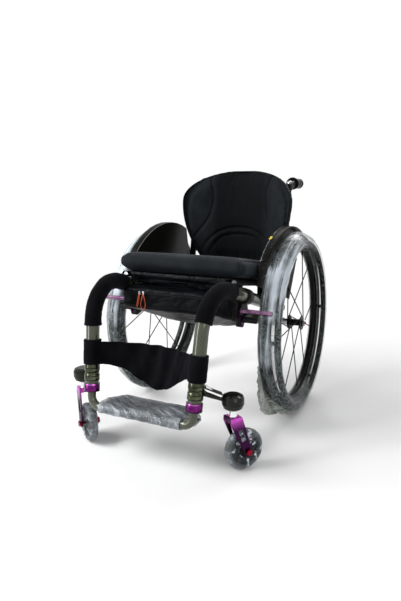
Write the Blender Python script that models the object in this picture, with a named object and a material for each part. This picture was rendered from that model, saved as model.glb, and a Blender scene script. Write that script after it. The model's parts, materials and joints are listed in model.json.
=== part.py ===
"""Rigid-frame active wheelchair in carbon fibre, in metres: the user faces -Y, the floor is z = 0.

Every y below is measured from the rear axle, forwards negative. at() moves it to the part's own frame,
whose origin lies on the floor under the middle of the chair.
"""

import math

import bmesh
import bpy
from mathutils import Matrix, Vector

# Fits
GAP = 0.0003  # between pieces that touch
RUNNING = 0.0005  # round a turning pin
EDGE = 0.002  # small softened edge

# Rear wheels
TYRE_R = 0.298
TYRE_DEPTH = 0.028
TYRE_WIDTH = 0.032
RIM_WIDTH = 0.027
RIM_DEPTH = 0.027
WHEEL_X = 0.256
CAMBER = math.radians(1.0)
WHEEL_SIDES = 36
HANDRIM_INSET = 0.034
HANDRIM_R = TYRE_R - HANDRIM_INSET
HANDRIM_TUBE_R = 0.0095
HANDRIM_OUT = 0.0345
HANDRIM_TABS = 6
HANDRIM_TAB_HALF = 0.006
HANDRIM_TAB_WALL = 0.007
HUB_IN = 0.018
HUB_OUT = 0.034
HUB_SHELL_R = 0.0125
FLANGE_R = 0.024
FLANGE_WALL = 0.004
FLANGE_INSET = 0.003
SPOKE_R = 0.002
SPOKE_PAIRS = 6
SPOKE_PAIR_TURN = math.radians(54.0)
SPOKE_HALF_SPREAD = math.radians(11.7)
SPOKE_LEAD = math.radians(78.0)
AXLE_PIN_R = 0.00635
AXLE_PIN_IN = 0.105
AXLE_HEAD_R = 0.010
AXLE_HEAD_WALL = 0.006
BUTTON_R = 0.0035
BUTTON_OUT = 0.004
BUTTON_TRAVEL = 0.003
BUTTON_DEPTH = 0.008

# Main carbon tubes
TUBE_R = 0.019
CLAMP_RING_X = 0.163
CLAMP_RING_Y = -0.544
CLAMP_RING_Z = 0.192
LEG_SPLAY = 0.0445
LEG_LEAN = 0.150
LEG_END_Z = 0.184
SIDE_TUBE_SLOPE = 0.32
SIDE_TUBE_AXLE_Z = 0.3475
SIDE_TUBE_FLARE = 0.031
SIDE_TUBE_REAR_Y = 0.045
BEND_R = 0.110
TUBE_SIDES = 16
BEND_STEPS = 6
ROUND_STEPS = 2

# Sleeves over the bends
SLEEVE_WALL = 0.0052
SLEEVE_LOW_Z = {"left": 0.405, "right": 0.365}
SLEEVE_REAR_Y = -0.347

# Calf strap
STRAP_TOP_Z = 0.326
STRAP_LOW_Z = 0.258
STRAP_WRAP_WALL = 0.0065
STRAP_WALL = 0.004
STRAP_BOW = 0.062
STRAP_SAG = 0.070
STRAP_SAG_X = 0.045
STRAP_FOLDS = 5
STRAP_FOLD_DEPTH = 0.0035

# Footrest
FOOT_TUBE_R = 0.012
FOOT_TUBE_REACH = 0.045
FOOT_BEND_R = 0.030
FOOT_RUN_Z = 0.139
FOOTPLATE_TOP_Z = 0.136
FOOTPLATE_WALL = 0.006
FOOTPLATE_HALF_X = 0.150
FOOTPLATE_NECK_X = 0.120
FOOTPLATE_NECK_Y = -0.532
FOOTPLATE_REAR_Y = -0.445
FOOTPLATE_CORNER_X = 0.036
FOOTPLATE_CORNER_Y = 0.040
CLAMP_RING_WALL = 0.0035
CLAMP_RING_HEIGHT = 0.022
CLAMP_LUG = 0.012

# Caster arms and housings
CASTER_X = 0.2437
CASTER_Y = -0.479
ARM_LEG_Z = 0.2415
ARM_HOUSING_Z = 0.200
ARM_LEG_HEIGHT = 0.029
ARM_HOUSING_HEIGHT = 0.022
ARM_THICK = 0.018
COLLAR_LOW_Z = 0.211
COLLAR_TOP_Z = 0.256
COLLAR_WALL = 0.0045
COLLAR_GROOVE = 0.0022
HOUSING_R = 0.030
HOUSING_LOW_Z = 0.174
HOUSING_TOP_Z = 0.217
HOUSING_ROUND = 0.011
HOUSING_ROOF = 0.008

# Casters
CASTER_R = 0.0565
CASTER_TYRE_WIDTH = 0.024
CASTER_TYRE_DEPTH = 0.015
CASTER_DISC_WALL = 0.010
CASTER_HUB_R = 0.014
CASTER_TRAIL = 0.034
CASTER_TURN_LEFT = math.radians(-35.5)
CASTER_TURN_RIGHT = math.radians(-125.2)
CASTER_SIDES = 24
FORK_HALF_WIDTH = 0.0255
FORK_TOP_SHARE = 0.72
FORK_WALL = 0.0045
FORK_TOP_Z = 0.156
CROWN_HEIGHT = 0.014
CROWN_HALF_Y = 0.018
FORK_FOOT_R = 0.012
WINDOW_HALF_Y = 0.0075
WINDOW_LOW_Z = 0.086
WINDOW_TOP_Z = 0.122
STEM_R = 0.006
NECK_R = 0.012
BOLT_R = 0.004
BOLT_HEAD_R = 0.0085
BOLT_HEAD_WALL = 0.005

# Axle tube
AXLE_TUBE_HALF = 0.186
AXLE_SLEEVE_R = 0.0125
AXLE_SLEEVE_REACH = 0.055
AXLE_NOSE_R = 0.0115

# Seat
RAIL_R = 0.008
RAIL_X = 0.183
SEAT_SLOPE = 0.175
RAIL_FRONT_Y = -0.330
SLING_WALL = 0.003
SLING_HALF_X = 0.196
SLING_HEM = 0.026
SLING_HEM_HALF_X = 0.150
CUSHION_HALF_X = 0.210
CUSHION_FRONT_Y = -0.333
CUSHION_REAR_Y = 0.066
CUSHION_THICK = 0.058
CUSHION_ROUND = 0.026
CUSHION_CROWN = 0.006

# Bag under the seat
BAG_HALF_X = 0.155
BAG_FRONT_Y = -0.392
BAG_REAR_Y = -0.190
BAG_SHOULDER = 0.008
BAG_FRONT_LOW_Z = 0.393
BAG_REAR_LOW_Z = 0.306
BAG_ROUND = 0.012

# Rear brackets
BRACKET_WALL = 0.010
BRACKET_COLLAR_WALL = 0.006
BRACKET_COLLAR_LENGTH = 0.044
BRACKET_WAIST = 0.020
BACK_HINGE_Y = 0.115
BACK_HINGE_Z = 0.450
BACK_HINGE_R = 0.005
BACK_LUG_R = 0.016

# Side guards
GUARD_X = 0.2165
GUARD_WALL = 0.003
GUARD_CLEARANCE = 0.020
GUARD_R = TYRE_R + GUARD_CLEARANCE
GUARD_LIP = 0.024
GUARD_FRONT = math.radians(47.0)
GUARD_REAR = math.radians(116.0)
GUARD_RISE = 0.034
GUARD_FRONT_Y = -0.249
GUARD_REAR_Y = 0.155
GUARD_REAR_SHARE = 0.65
GUARD_LOW_REAR_Y = 0.070
GUARD_STEPS = 10
GUARD_TAB_Y = (-0.150, -0.050)
GUARD_TAB_HALF = 0.011
GUARD_TAB_LAP = 0.012

# Backrest
BACK_LOW_Z = 0.468
BACK_WIDE_Z = 0.690
BACK_TOP_Z = 0.796
BACK_HALF_X = 0.208
BACK_LOW_HALF_X = 0.1365
BACK_NARROWING = (BACK_HALF_X - BACK_LOW_HALF_X) / (BACK_WIDE_Z - BACK_LOW_Z) ** 2
BACK_ROUNDNESS = 2.15
BACK_LOW_Y = 0.142
BACK_LEAN = 0.123
BACK_WRAP = 0.087
PAD_WALL = 0.024
PAD_EDGE_WALL = 0.011
PAD_CROWN_SHARE = 0.30
SHELL_WALL = 0.004
SHELL_TRIM = 0.97
BACK_COLUMNS = 14
BACK_ROWS = 12
ARCH_TOP_Z = 0.592
ARCH_HALF_X = 0.120
SEAM_X = 0.122
SEAM_DEPTH = 0.005
SEAM_WIDTH = 0.010

# Backrest posts, brace and push handles
POST_R = 0.011
POST_X = 0.180
POST_TOP_Z = BACK_WIDE_Z + 0.054
POST_LEAN = 0.150
BRACE_R = 0.008
BRACE_Z = 0.505
BRACE_BOW = 0.066
BRACE_BEND_R = 0.035
BOSS_HEIGHTS = (BACK_WIDE_Z - 0.145, BACK_WIDE_Z - 0.010)
BOSS_HALF = 0.010
BOSS_WALL = 0.012
HANDLE_SET_BACK = 0.032
HANDLE_PIVOT_R = 0.0045
HANDLE_EYE_R = 0.011
HANDLE_STEM_R = 0.0085
HANDLE_STEM_LENGTH = 0.062
GRIP_R = 0.0185
GRIP_START = 0.030
GRIP_LENGTH = 0.084

# Brakes
BRAKE_ROD_X = 0.285
BRAKE_ROD_R = 0.007
BRAKE_STANDOFF = 0.0173
BRAKE_TURN = math.radians(17.93)
BRAKE_ARM_DROP = 0.043
BRAKE_ARM_SET_BACK = 0.016
BRAKE_PLATE_IN = 0.172
BRAKE_PLATE_OUT = 0.184
BRAKE_PIVOT_R = 0.004
BRAKE_ARM_WALL = 0.007
BRAKE_ARM_R = 0.010
LEVER_SET_BACK = 0.052
LEVER_RISE = 0.014
LEVER_WALL = 0.007
LEVER_LENGTH = 0.052
LEVER_R = 0.010
LEVER_BAR_R = 0.009
LEVER_BAR_X = 0.234
BRAKE_SADDLE_WALL = 0.005
BRAKE_SADDLE_LENGTH = 0.030
BRAKE_SADDLE_SET_BACK = 0.030

# Worked out from the sizes above
SIDES = (("left", 1), ("right", -1))
RING_FRONT = -CLAMP_RING_Y + TUBE_R + CLAMP_RING_WALL
HANDLE_PIVOT_Y = BACK_HINGE_Y + POST_LEAN * (POST_TOP_Z - BACK_HINGE_Z) + HANDLE_SET_BACK
AXLE_Y = (RING_FRONT - max(TYRE_R, HANDLE_PIVOT_Y + GRIP_START + GRIP_LENGTH)) / 2
AXLE_Z = (TYRE_R - TYRE_WIDTH / 2) * math.cos(CAMBER) + TYRE_WIDTH / 2
RIM_R = TYRE_R - TYRE_DEPTH - GAP
BRAKE_ROD_Y = -(TYRE_R + BRAKE_STANDOFF) * math.cos(BRAKE_TURN)
BRAKE_ROD_Z = AXLE_Z + (TYRE_R + BRAKE_STANDOFF) * math.sin(BRAKE_TURN)
BRAKE_PIVOT_Y = BRAKE_ROD_Y + BRAKE_ARM_SET_BACK
BRAKE_PIVOT_Z = BRAKE_ROD_Z - BRAKE_ARM_DROP
LEVER_PIVOT_Y = BRAKE_PIVOT_Y + LEVER_SET_BACK
LEVER_PIVOT_Z = BRAKE_PIVOT_Z + LEVER_RISE
FORK_LEAN = (1 - FORK_TOP_SHARE) / (FORK_TOP_Z - CASTER_R)


def at(x, y, z):
    """The point of the part's frame whose y is measured from the rear axle."""
    return Vector((x, y + AXLE_Y, z))


def material(name, colour, roughness, metallic=0.0):
    made = bpy.data.materials.new(name)
    made.use_nodes = True
    shader = made.node_tree.nodes["Principled BSDF"]
    shader.inputs["Base Color"].default_value = (*colour, 1.0)
    shader.inputs["Roughness"].default_value = roughness
    shader.inputs["Metallic"].default_value = metallic
    return made


def clear_scene():
    for obj in list(bpy.data.objects):
        bpy.data.objects.remove(obj, do_unlink=True)


def finish(name, bm, surface, parent=None):
    """Makes the mesh an object, with its faces pointing out and its round walls shaded smooth."""
    bmesh.ops.remove_doubles(bm, verts=bm.verts, dist=1e-6)
    bmesh.ops.recalc_face_normals(bm, faces=bm.faces)
    mesh = bpy.data.meshes.new(name)
    bm.to_mesh(mesh)
    bm.free()
    mesh.shade_smooth()
    mesh.set_sharp_from_angle(angle=math.radians(35))
    obj = bpy.data.objects.new(name, mesh)
    bpy.context.scene.collection.objects.link(obj)
    if surface:
        mesh.materials.append(surface)
    if parent:
        obj.parent = parent
    return obj


def helper(name, bm, parent=None):
    """A shape that only cuts or joins."""
    obj = finish(name, bm, None, parent)
    obj.hide_render = True
    obj.display_type = "WIRE"
    return obj


def add_to(bm, piece):
    """Puts the faces of piece into bm."""
    mesh = bpy.data.meshes.new("piece")
    piece.to_mesh(mesh)
    piece.free()
    bm.from_mesh(mesh)
    bpy.data.meshes.remove(mesh)


def boolean(obj, other, operation):
    step = obj.modifiers.new(operation.title(), "BOOLEAN")
    step.object = other
    step.operation = operation
    step.solver = "EXACT"


def pivot(name, matrix, parent=None):
    """An empty at a joint, which its moving pieces hang on."""
    empty = bpy.data.objects.new(name, None)
    bpy.context.scene.collection.objects.link(empty)
    empty.empty_display_size = 0.03
    if parent:
        empty.parent = parent
    empty.matrix_basis = matrix
    return empty


def along(start, direction):
    """The frame at start whose +Z runs along direction."""
    turn = Vector((0, 0, 1)).rotation_difference(Vector(direction)).to_matrix().to_4x4()
    return Matrix.Translation(start) @ turn


X_AXIS = Matrix.Rotation(math.pi / 2, 4, "Y")


def lathe(profile, sides, matrix=None, start=0.0):
    """Turns (radius, height) points about Z. Points on the axis close the end, or the profile is a loop."""
    bm = bmesh.new()
    open_ends = profile[0][0] == 0 and profile[-1][0] == 0
    rings = []
    for radius, height in profile:
        if radius == 0:
            rings.append([bm.verts.new((0, 0, height))])
            continue
        ring = []
        for side in range(sides):
            angle = start + 2 * math.pi * side / sides
            ring.append(bm.verts.new((radius * math.cos(angle), radius * math.sin(angle), height)))
        rings.append(ring)
    pairs = list(zip(rings, rings[1:]))
    if not open_ends:
        pairs.append((rings[-1], rings[0]))
    for first, second in pairs:
        for side in range(sides):
            after = (side + 1) % sides
            corners = [first[side % len(first)], first[after % len(first)]]
            corners += [second[after % len(second)], second[side % len(second)]]
            bm.faces.new(list(dict.fromkeys(corners)))
    if matrix:
        bm.transform(matrix)
    return bm


def wheel_lathe(profile, sides, matrix):
    """Turns a wheel's profile. Its facets' middles are on the true circle, and one of them on the floor."""
    grown = [(radius / math.cos(math.pi / sides), height) for radius, height in profile]
    return lathe(grown, sides, matrix, math.pi / sides)


def rod(start, end, radius, sides=12):
    """A plain round bar between two points."""
    length = (end - start).length
    profile = [(0, 0), (radius, 0), (radius, length), (0, length)]
    return lathe(profile, sides, along(start, end - start))


def fillet(points, radius, steps):
    """The straight runs through points, with each inner corner made an arc."""
    path = [points[0]]
    for before, corner, after in zip(points, points[1:], points[2:]):
        back = (before - corner).normalized()
        ahead = (after - corner).normalized()
        half = back.angle(ahead) / 2
        reach = radius / math.tan(half)
        centre = corner + (back + ahead).normalized() * (radius / math.sin(half))
        first = corner + back * reach - centre
        last = corner + ahead * reach - centre
        turn = first.angle(last)
        axis = first.cross(last).normalized()
        for step in range(steps + 1):
            path.append(centre + Matrix.Rotation(turn * step / steps, 3, axis) @ first)
    path.append(points[-1])
    return path


def sweep(path, radius, sides, inner=None):
    """A round tube along path, solid, or hollow and open at both ends."""
    bm = bmesh.new()
    tangents = []
    for before, after in zip([path[0]] + path[:-1], path[1:] + [path[-1]]):
        tangents.append((after - before).normalized())
    normal = Vector((1, 0, 0)) if abs(tangents[0].x) < 0.9 else Vector((0, 1, 0))
    shells = {radius: [], inner: []}
    for point, tangent in zip(path, tangents):
        normal = (normal - tangent * normal.dot(tangent)).normalized()
        cross = tangent.cross(normal)
        for size, rings in shells.items():
            if size is None:
                continue
            ring = []
            for side in range(sides):
                angle = 2 * math.pi * side / sides
                ring.append(bm.verts.new(point + size * (normal * math.cos(angle) + cross * math.sin(angle))))
            rings.append(ring)
    for size, rings in shells.items():
        for first, second in zip(rings, rings[1:]):
            for side in range(sides):
                after = (side + 1) % sides
                bm.faces.new((first[side], first[after], second[after], second[side]))
    for end in (0, -1):
        outer = shells[radius][end]
        if inner is None:
            bm.faces.new(outer)
            continue
        core = shells[inner][end]
        for side in range(sides):
            after = (side + 1) % sides
            bm.faces.new((outer[side], outer[after], core[after], core[side]))
    return bm


def box(low, high, edge=0.0, segments=1):
    bm = bmesh.new()
    bmesh.ops.create_cube(bm, size=1)
    size = Vector(high) - Vector(low)
    middle = (Vector(high) + Vector(low)) / 2
    for vert in bm.verts:
        vert.co = Vector(a * b for a, b in zip(vert.co, size)) + middle
    if edge:
        bmesh.ops.bevel(bm, geom=bm.edges[:], offset=edge, segments=segments, profile=0.5, affect="EDGES")
    return bm


def plate(outline, near, far):
    """The (y, z) outline extruded along X from near to far."""
    bm = bmesh.new()
    corners = [bm.verts.new(at(near, y, z)) for y, z in outline]
    face = bm.faces.new(corners)
    grown = bmesh.ops.extrude_face_region(bm, geom=[face])["geom"]
    for vert in grown:
        if isinstance(vert, bmesh.types.BMVert):
            vert.co.x += far - near
    return bm


def arc(centre, radius, start, end, steps):
    """(y, z) points from one angle to the other, both in degrees from +y towards +z."""
    points = []
    for step in range(steps + 1):
        angle = math.radians(start + (end - start) * step / steps)
        points.append((centre[0] + radius * math.cos(angle), centre[1] + radius * math.sin(angle)))
    return points


def capsule(first, second, first_r, second_r, steps=6):
    """The (y, z) outline round two discs."""
    lean = math.degrees(math.atan2(second[1] - first[1], second[0] - first[0]))
    ends = arc(first, first_r, lean + 90, lean + 270, steps)
    return ends + arc(second, second_r, lean - 90, lean + 90, steps)


def leg_point(sign, z):
    """The centre of the front leg at height z."""
    rise = z - CLAMP_RING_Z
    return at(sign * (CLAMP_RING_X + LEG_SPLAY * rise), CLAMP_RING_Y + LEG_LEAN * rise, z)


def side_tube_z(y):
    return SIDE_TUBE_AXLE_Z - SIDE_TUBE_SLOPE * y


def corner_point(sign):
    """Where the leg's line and the side tube's line meet."""
    leg_at_floor = CLAMP_RING_Y - LEG_LEAN * CLAMP_RING_Z
    z = (SIDE_TUBE_AXLE_Z - SIDE_TUBE_SLOPE * leg_at_floor) / (1 + SIDE_TUBE_SLOPE * LEG_LEAN)
    return leg_point(sign, z)


def side_tube_point(sign, y):
    corner = corner_point(sign)
    x = corner.x + sign * SIDE_TUBE_FLARE * (y + AXLE_Y - corner.y)
    return at(x, y, side_tube_z(y))


def main_path(sign, low_z, rear_y):
    """The centre line of the leg, the bend and the side tube, from height low_z on."""
    ends = [leg_point(sign, LEG_END_Z), corner_point(sign), side_tube_point(sign, rear_y)]
    path = fillet(ends, BEND_R, BEND_STEPS)
    while path[1].z <= low_z:
        path.pop(0)
    share = (low_z - path[0].z) / (path[1].z - path[0].z)
    path[0] = path[0].lerp(path[1], max(0.0, share))
    return path


def rail_z(y):
    """The height of a seat rail's centre."""
    front = side_tube_z(RAIL_FRONT_Y) + TUBE_R * math.hypot(1, SIDE_TUBE_SLOPE) + GAP + RAIL_R
    return front - SEAT_SLOPE * (y - RAIL_FRONT_Y)


def seat_z(y):
    """The top of the sling."""
    return rail_z(y) + RAIL_R + GAP + SLING_WALL


def post_y(z):
    return BACK_HINGE_Y + POST_LEAN * (z - BACK_HINGE_Z)


# Frame


def make_side_frame(side, sign, look):
    frame = finish(
        f"side_frame_{side}",
        sweep(main_path(sign, LEG_END_Z, SIDE_TUBE_REAR_Y), TUBE_R, TUBE_SIDES),
        look["carbon"],
    )
    low = leg_point(sign, LEG_END_Z - 0.02)
    high = leg_point(sign, LEG_END_Z + FOOT_TUBE_REACH + 0.003)
    cutter = helper(f"leg_bore_{side}", rod(low, high, FOOT_TUBE_R + 2 * GAP, TUBE_SIDES))
    boolean(frame, cutter, "DIFFERENCE")
    return frame


def make_knee_sleeve(side, sign, look):
    path = main_path(sign, SLEEVE_LOW_Z[side], SLEEVE_REAR_Y)
    inner = (TUBE_R + GAP) / math.cos(math.pi / TUBE_SIDES)
    finish(f"knee_sleeve_{side}", sweep(path, TUBE_R + SLEEVE_WALL, TUBE_SIDES, inner), look["knit"])


def leg_frame(sign, z):
    direction = leg_point(sign, z + 1) - leg_point(sign, z)
    return along(leg_point(sign, z), direction)


def leg_sleeve(sign, low_z, high_z, outer):
    """A round collar on the front leg."""
    inner = (TUBE_R + GAP) / math.cos(math.pi / TUBE_SIDES)
    length = (leg_point(sign, high_z) - leg_point(sign, low_z)).length
    profile = [(inner, 0), (outer, 0), (outer, length), (inner, length)]
    return lathe(profile, TUBE_SIDES, leg_frame(sign, low_z))


def make_calf_strap(look):
    """Two wraps round the legs, and a slack panel bowed back between them."""
    strap = finish(
        "calf_strap", leg_sleeve(1, STRAP_LOW_Z, STRAP_TOP_Z, TUBE_R + STRAP_WRAP_WALL), look["knit"]
    )
    other = helper("wrap_right", leg_sleeve(-1, STRAP_LOW_Z, STRAP_TOP_Z, TUBE_R + STRAP_WRAP_WALL))
    boolean(strap, helper("strap_panel", strap_panel()), "UNION")
    boolean(strap, other, "UNION")


def strap_panel(columns=16, rows=4):
    middle_z = (STRAP_TOP_Z + STRAP_LOW_Z) / 2
    half = leg_point(1, middle_z).x - TUBE_R - STRAP_WRAP_WALL / 2
    leg_y = leg_point(1, middle_z).y - AXLE_Y
    bm = bmesh.new()
    layers = []
    for offset in (0.0, STRAP_WALL):
        grid = []
        for column in range(columns + 1):
            share = 2 * column / columns - 1
            slack = 1 - share**2
            off_centre = (share * half - STRAP_SAG_X) / half
            low = STRAP_LOW_Z - STRAP_SAG * slack**1.5 * math.exp(-(off_centre**2))
            top = STRAP_TOP_Z - 0.004 - 0.008 * slack
            line = []
            for row in range(rows + 1):
                z = top + (low - top) * row / rows
                turn = math.pi * STRAP_FOLDS * (share + 0.25 * row / rows)
                fold = STRAP_FOLD_DEPTH * slack * math.sin(turn)
                y = leg_y + LEG_LEAN * (z - middle_z) + STRAP_BOW * slack + fold + offset - STRAP_WALL / 2
                line.append(bm.verts.new(at(share * half, y, z)))
            grid.append(line)
        layers.append(grid)
    close_layers(bm, *layers)
    return bm


def close_layers(bm, front, back):
    """Joins two grids of points of the same size into one closed slab."""
    columns = len(front)
    rows = len(front[0])
    for grid in (front, back):
        for column in range(columns - 1):
            for row in range(rows - 1):
                corners = (grid[column][row], grid[column + 1][row])
                bm.faces.new(corners + (grid[column + 1][row + 1], grid[column][row + 1]))
    edges = []
    edges += [((column, 0), (column + 1, 0)) for column in range(columns - 1)]
    edges += [((column, rows - 1), (column + 1, rows - 1)) for column in range(columns - 1)]
    edges += [((0, row), (0, row + 1)) for row in range(rows - 1)]
    edges += [((columns - 1, row), (columns - 1, row + 1)) for row in range(rows - 1)]
    for (a, b), (c, d) in edges:
        bm.faces.new((front[a][b], front[c][d], back[c][d], back[a][b]))


def make_footrest(look):
    run_z = FOOT_RUN_Z
    run_y = leg_point(1, run_z).y - AXLE_Y
    top_z = LEG_END_Z + FOOT_TUBE_REACH
    ends = [leg_point(1, top_z), leg_point(1, run_z), leg_point(-1, run_z), leg_point(-1, top_z)]
    finish("footrest_tube", sweep(fillet(ends, FOOT_BEND_R, 6), FOOT_TUBE_R, 12), look["carbon"])
    x = FOOTPLATE_HALF_X
    neck = FOOTPLATE_NECK_X
    widen = x - neck
    front = run_y + FOOT_TUBE_R + GAP
    half = [(0, front), (neck, front), (neck, FOOTPLATE_NECK_Y), (x, FOOTPLATE_NECK_Y + widen)]
    half += [(x, FOOTPLATE_REAR_Y - FOOTPLATE_CORNER_Y)]
    half += [(x - FOOTPLATE_CORNER_X, FOOTPLATE_REAR_Y)]
    outline = half + [(-x_at, y_at) for x_at, y_at in reversed(half[1:])]
    bm = bmesh.new()
    face = bm.faces.new([bm.verts.new(at(px, py, FOOTPLATE_TOP_Z - FOOTPLATE_WALL)) for px, py in outline])
    for vert in bmesh.ops.extrude_face_region(bm, geom=[face])["geom"]:
        if isinstance(vert, bmesh.types.BMVert):
            vert.co.z += FOOTPLATE_WALL
    finish("footplate", bm, look["plate"])


def make_footrest_clamp(side, sign, look):
    low = CLAMP_RING_Z - CLAMP_RING_HEIGHT / 2
    high = CLAMP_RING_Z + CLAMP_RING_HEIGHT / 2
    ring = leg_sleeve(sign, low, high, TUBE_R + CLAMP_RING_WALL)
    clamp = finish(f"footrest_clamp_{side}", ring, look["purple"])
    middle = leg_point(sign, CLAMP_RING_Z)
    near = middle + Vector((-CLAMP_LUG / 2, TUBE_R + 2 * GAP + CLAMP_RING_WALL / 3, -CLAMP_LUG / 2))
    far = middle + Vector((CLAMP_LUG / 2, TUBE_R + CLAMP_RING_WALL + CLAMP_LUG / 2, CLAMP_LUG / 2))
    boolean(clamp, helper(f"clamp_lug_{side}", box(near, far)), "UNION")


# Caster arms and casters


def make_caster_arm(side, sign, look):
    """A collar with two bands on the leg, and a tapering bar out to the housing."""
    inner = (TUBE_R + GAP) / math.cos(math.pi / TUBE_SIDES)
    outer = TUBE_R + COLLAR_WALL
    groove = outer - COLLAR_GROOVE
    half = (COLLAR_TOP_Z - COLLAR_LOW_Z) / 2
    collar_z = COLLAR_LOW_Z + half
    profile = [(inner, -half), (outer, -half), (outer, -half / 4), (groove, -half / 6)]
    profile += [(groove, half / 6), (outer, half / 4), (outer, half), (inner, half)]
    arm = finish(f"caster_arm_{side}", lathe(profile, TUBE_SIDES, leg_frame(sign, collar_z)), look["arm"])
    start = leg_point(sign, ARM_LEG_Z)
    end = at(sign * CASTER_X, CASTER_Y, ARM_HOUSING_Z)
    flat = (end - start).to_2d().normalized()
    across = Vector((-flat.y, flat.x, 0)) * ARM_THICK / 2
    start_in = start + (end - start).normalized() * (TUBE_R + COLLAR_WALL * 0.85)
    end_in = end - (end - start).normalized() * (HOUSING_R / 2)
    bm = bmesh.new()
    rings = []
    for point, height in ((start_in, ARM_LEG_HEIGHT), (end_in, ARM_HOUSING_HEIGHT)):
        up = Vector((0, 0, height / 2))
        corners = ((1, 1), (-1, 1), (-1, -1), (1, -1))
        rings.append([bm.verts.new(point + across * a + up * b) for a, b in corners])
    bm.faces.new(rings[0])
    bm.faces.new(rings[1])
    long_edges = []
    for near in range(4):
        after = (near + 1) % 4
        bm.faces.new((rings[0][near], rings[0][after], rings[1][after], rings[1][near]))
        long_edges.append(bm.edges.get((rings[0][near], rings[1][near])))
    bmesh.ops.recalc_face_normals(bm, faces=bm.faces)
    bmesh.ops.bevel(bm, geom=long_edges, offset=ARM_THICK / 3.2, segments=2, profile=0.5, affect="EDGES")
    bar = helper(f"arm_bar_{side}", bm)
    centre = at(sign * CASTER_X, CASTER_Y, HOUSING_LOW_Z - 0.02)
    above = at(sign * CASTER_X, CASTER_Y, HOUSING_TOP_Z + 0.02)
    boolean(arm, bar, "UNION")
    boolean(arm, helper(f"arm_seat_{side}", rod(centre, above, HOUSING_R + GAP, 24)), "DIFFERENCE")


def make_caster_housing(side, sign, look):
    """A barrel round the caster's stem, closed at the top."""
    bore = STEM_R + RUNNING
    low = HOUSING_LOW_Z
    top = HOUSING_TOP_Z
    edge = HOUSING_ROUND
    profile = [(0, top), (HOUSING_R - edge, top), (HOUSING_R - edge * 0.3, top - edge * 0.3)]
    profile += [(HOUSING_R, top - edge), (HOUSING_R, low + edge * 1.6)]
    profile += [(HOUSING_R - edge * 0.4, low + edge * 0.6), (NECK_R + 0.003, low)]
    profile += [(bore, low), (bore, top - HOUSING_ROOF), (0, top - HOUSING_ROOF)]
    bm = lathe(profile, 24, Matrix.Translation(at(sign * CASTER_X, CASTER_Y, 0)))
    finish(f"caster_housing_{side}", bm, look["housing"])


def narrow_fork(bm):
    """Draws the fork in towards its crown."""
    for vert in bm.verts:
        vert.co.x *= 1 - FORK_LEAN * (vert.co.z - CASTER_R)


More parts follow.
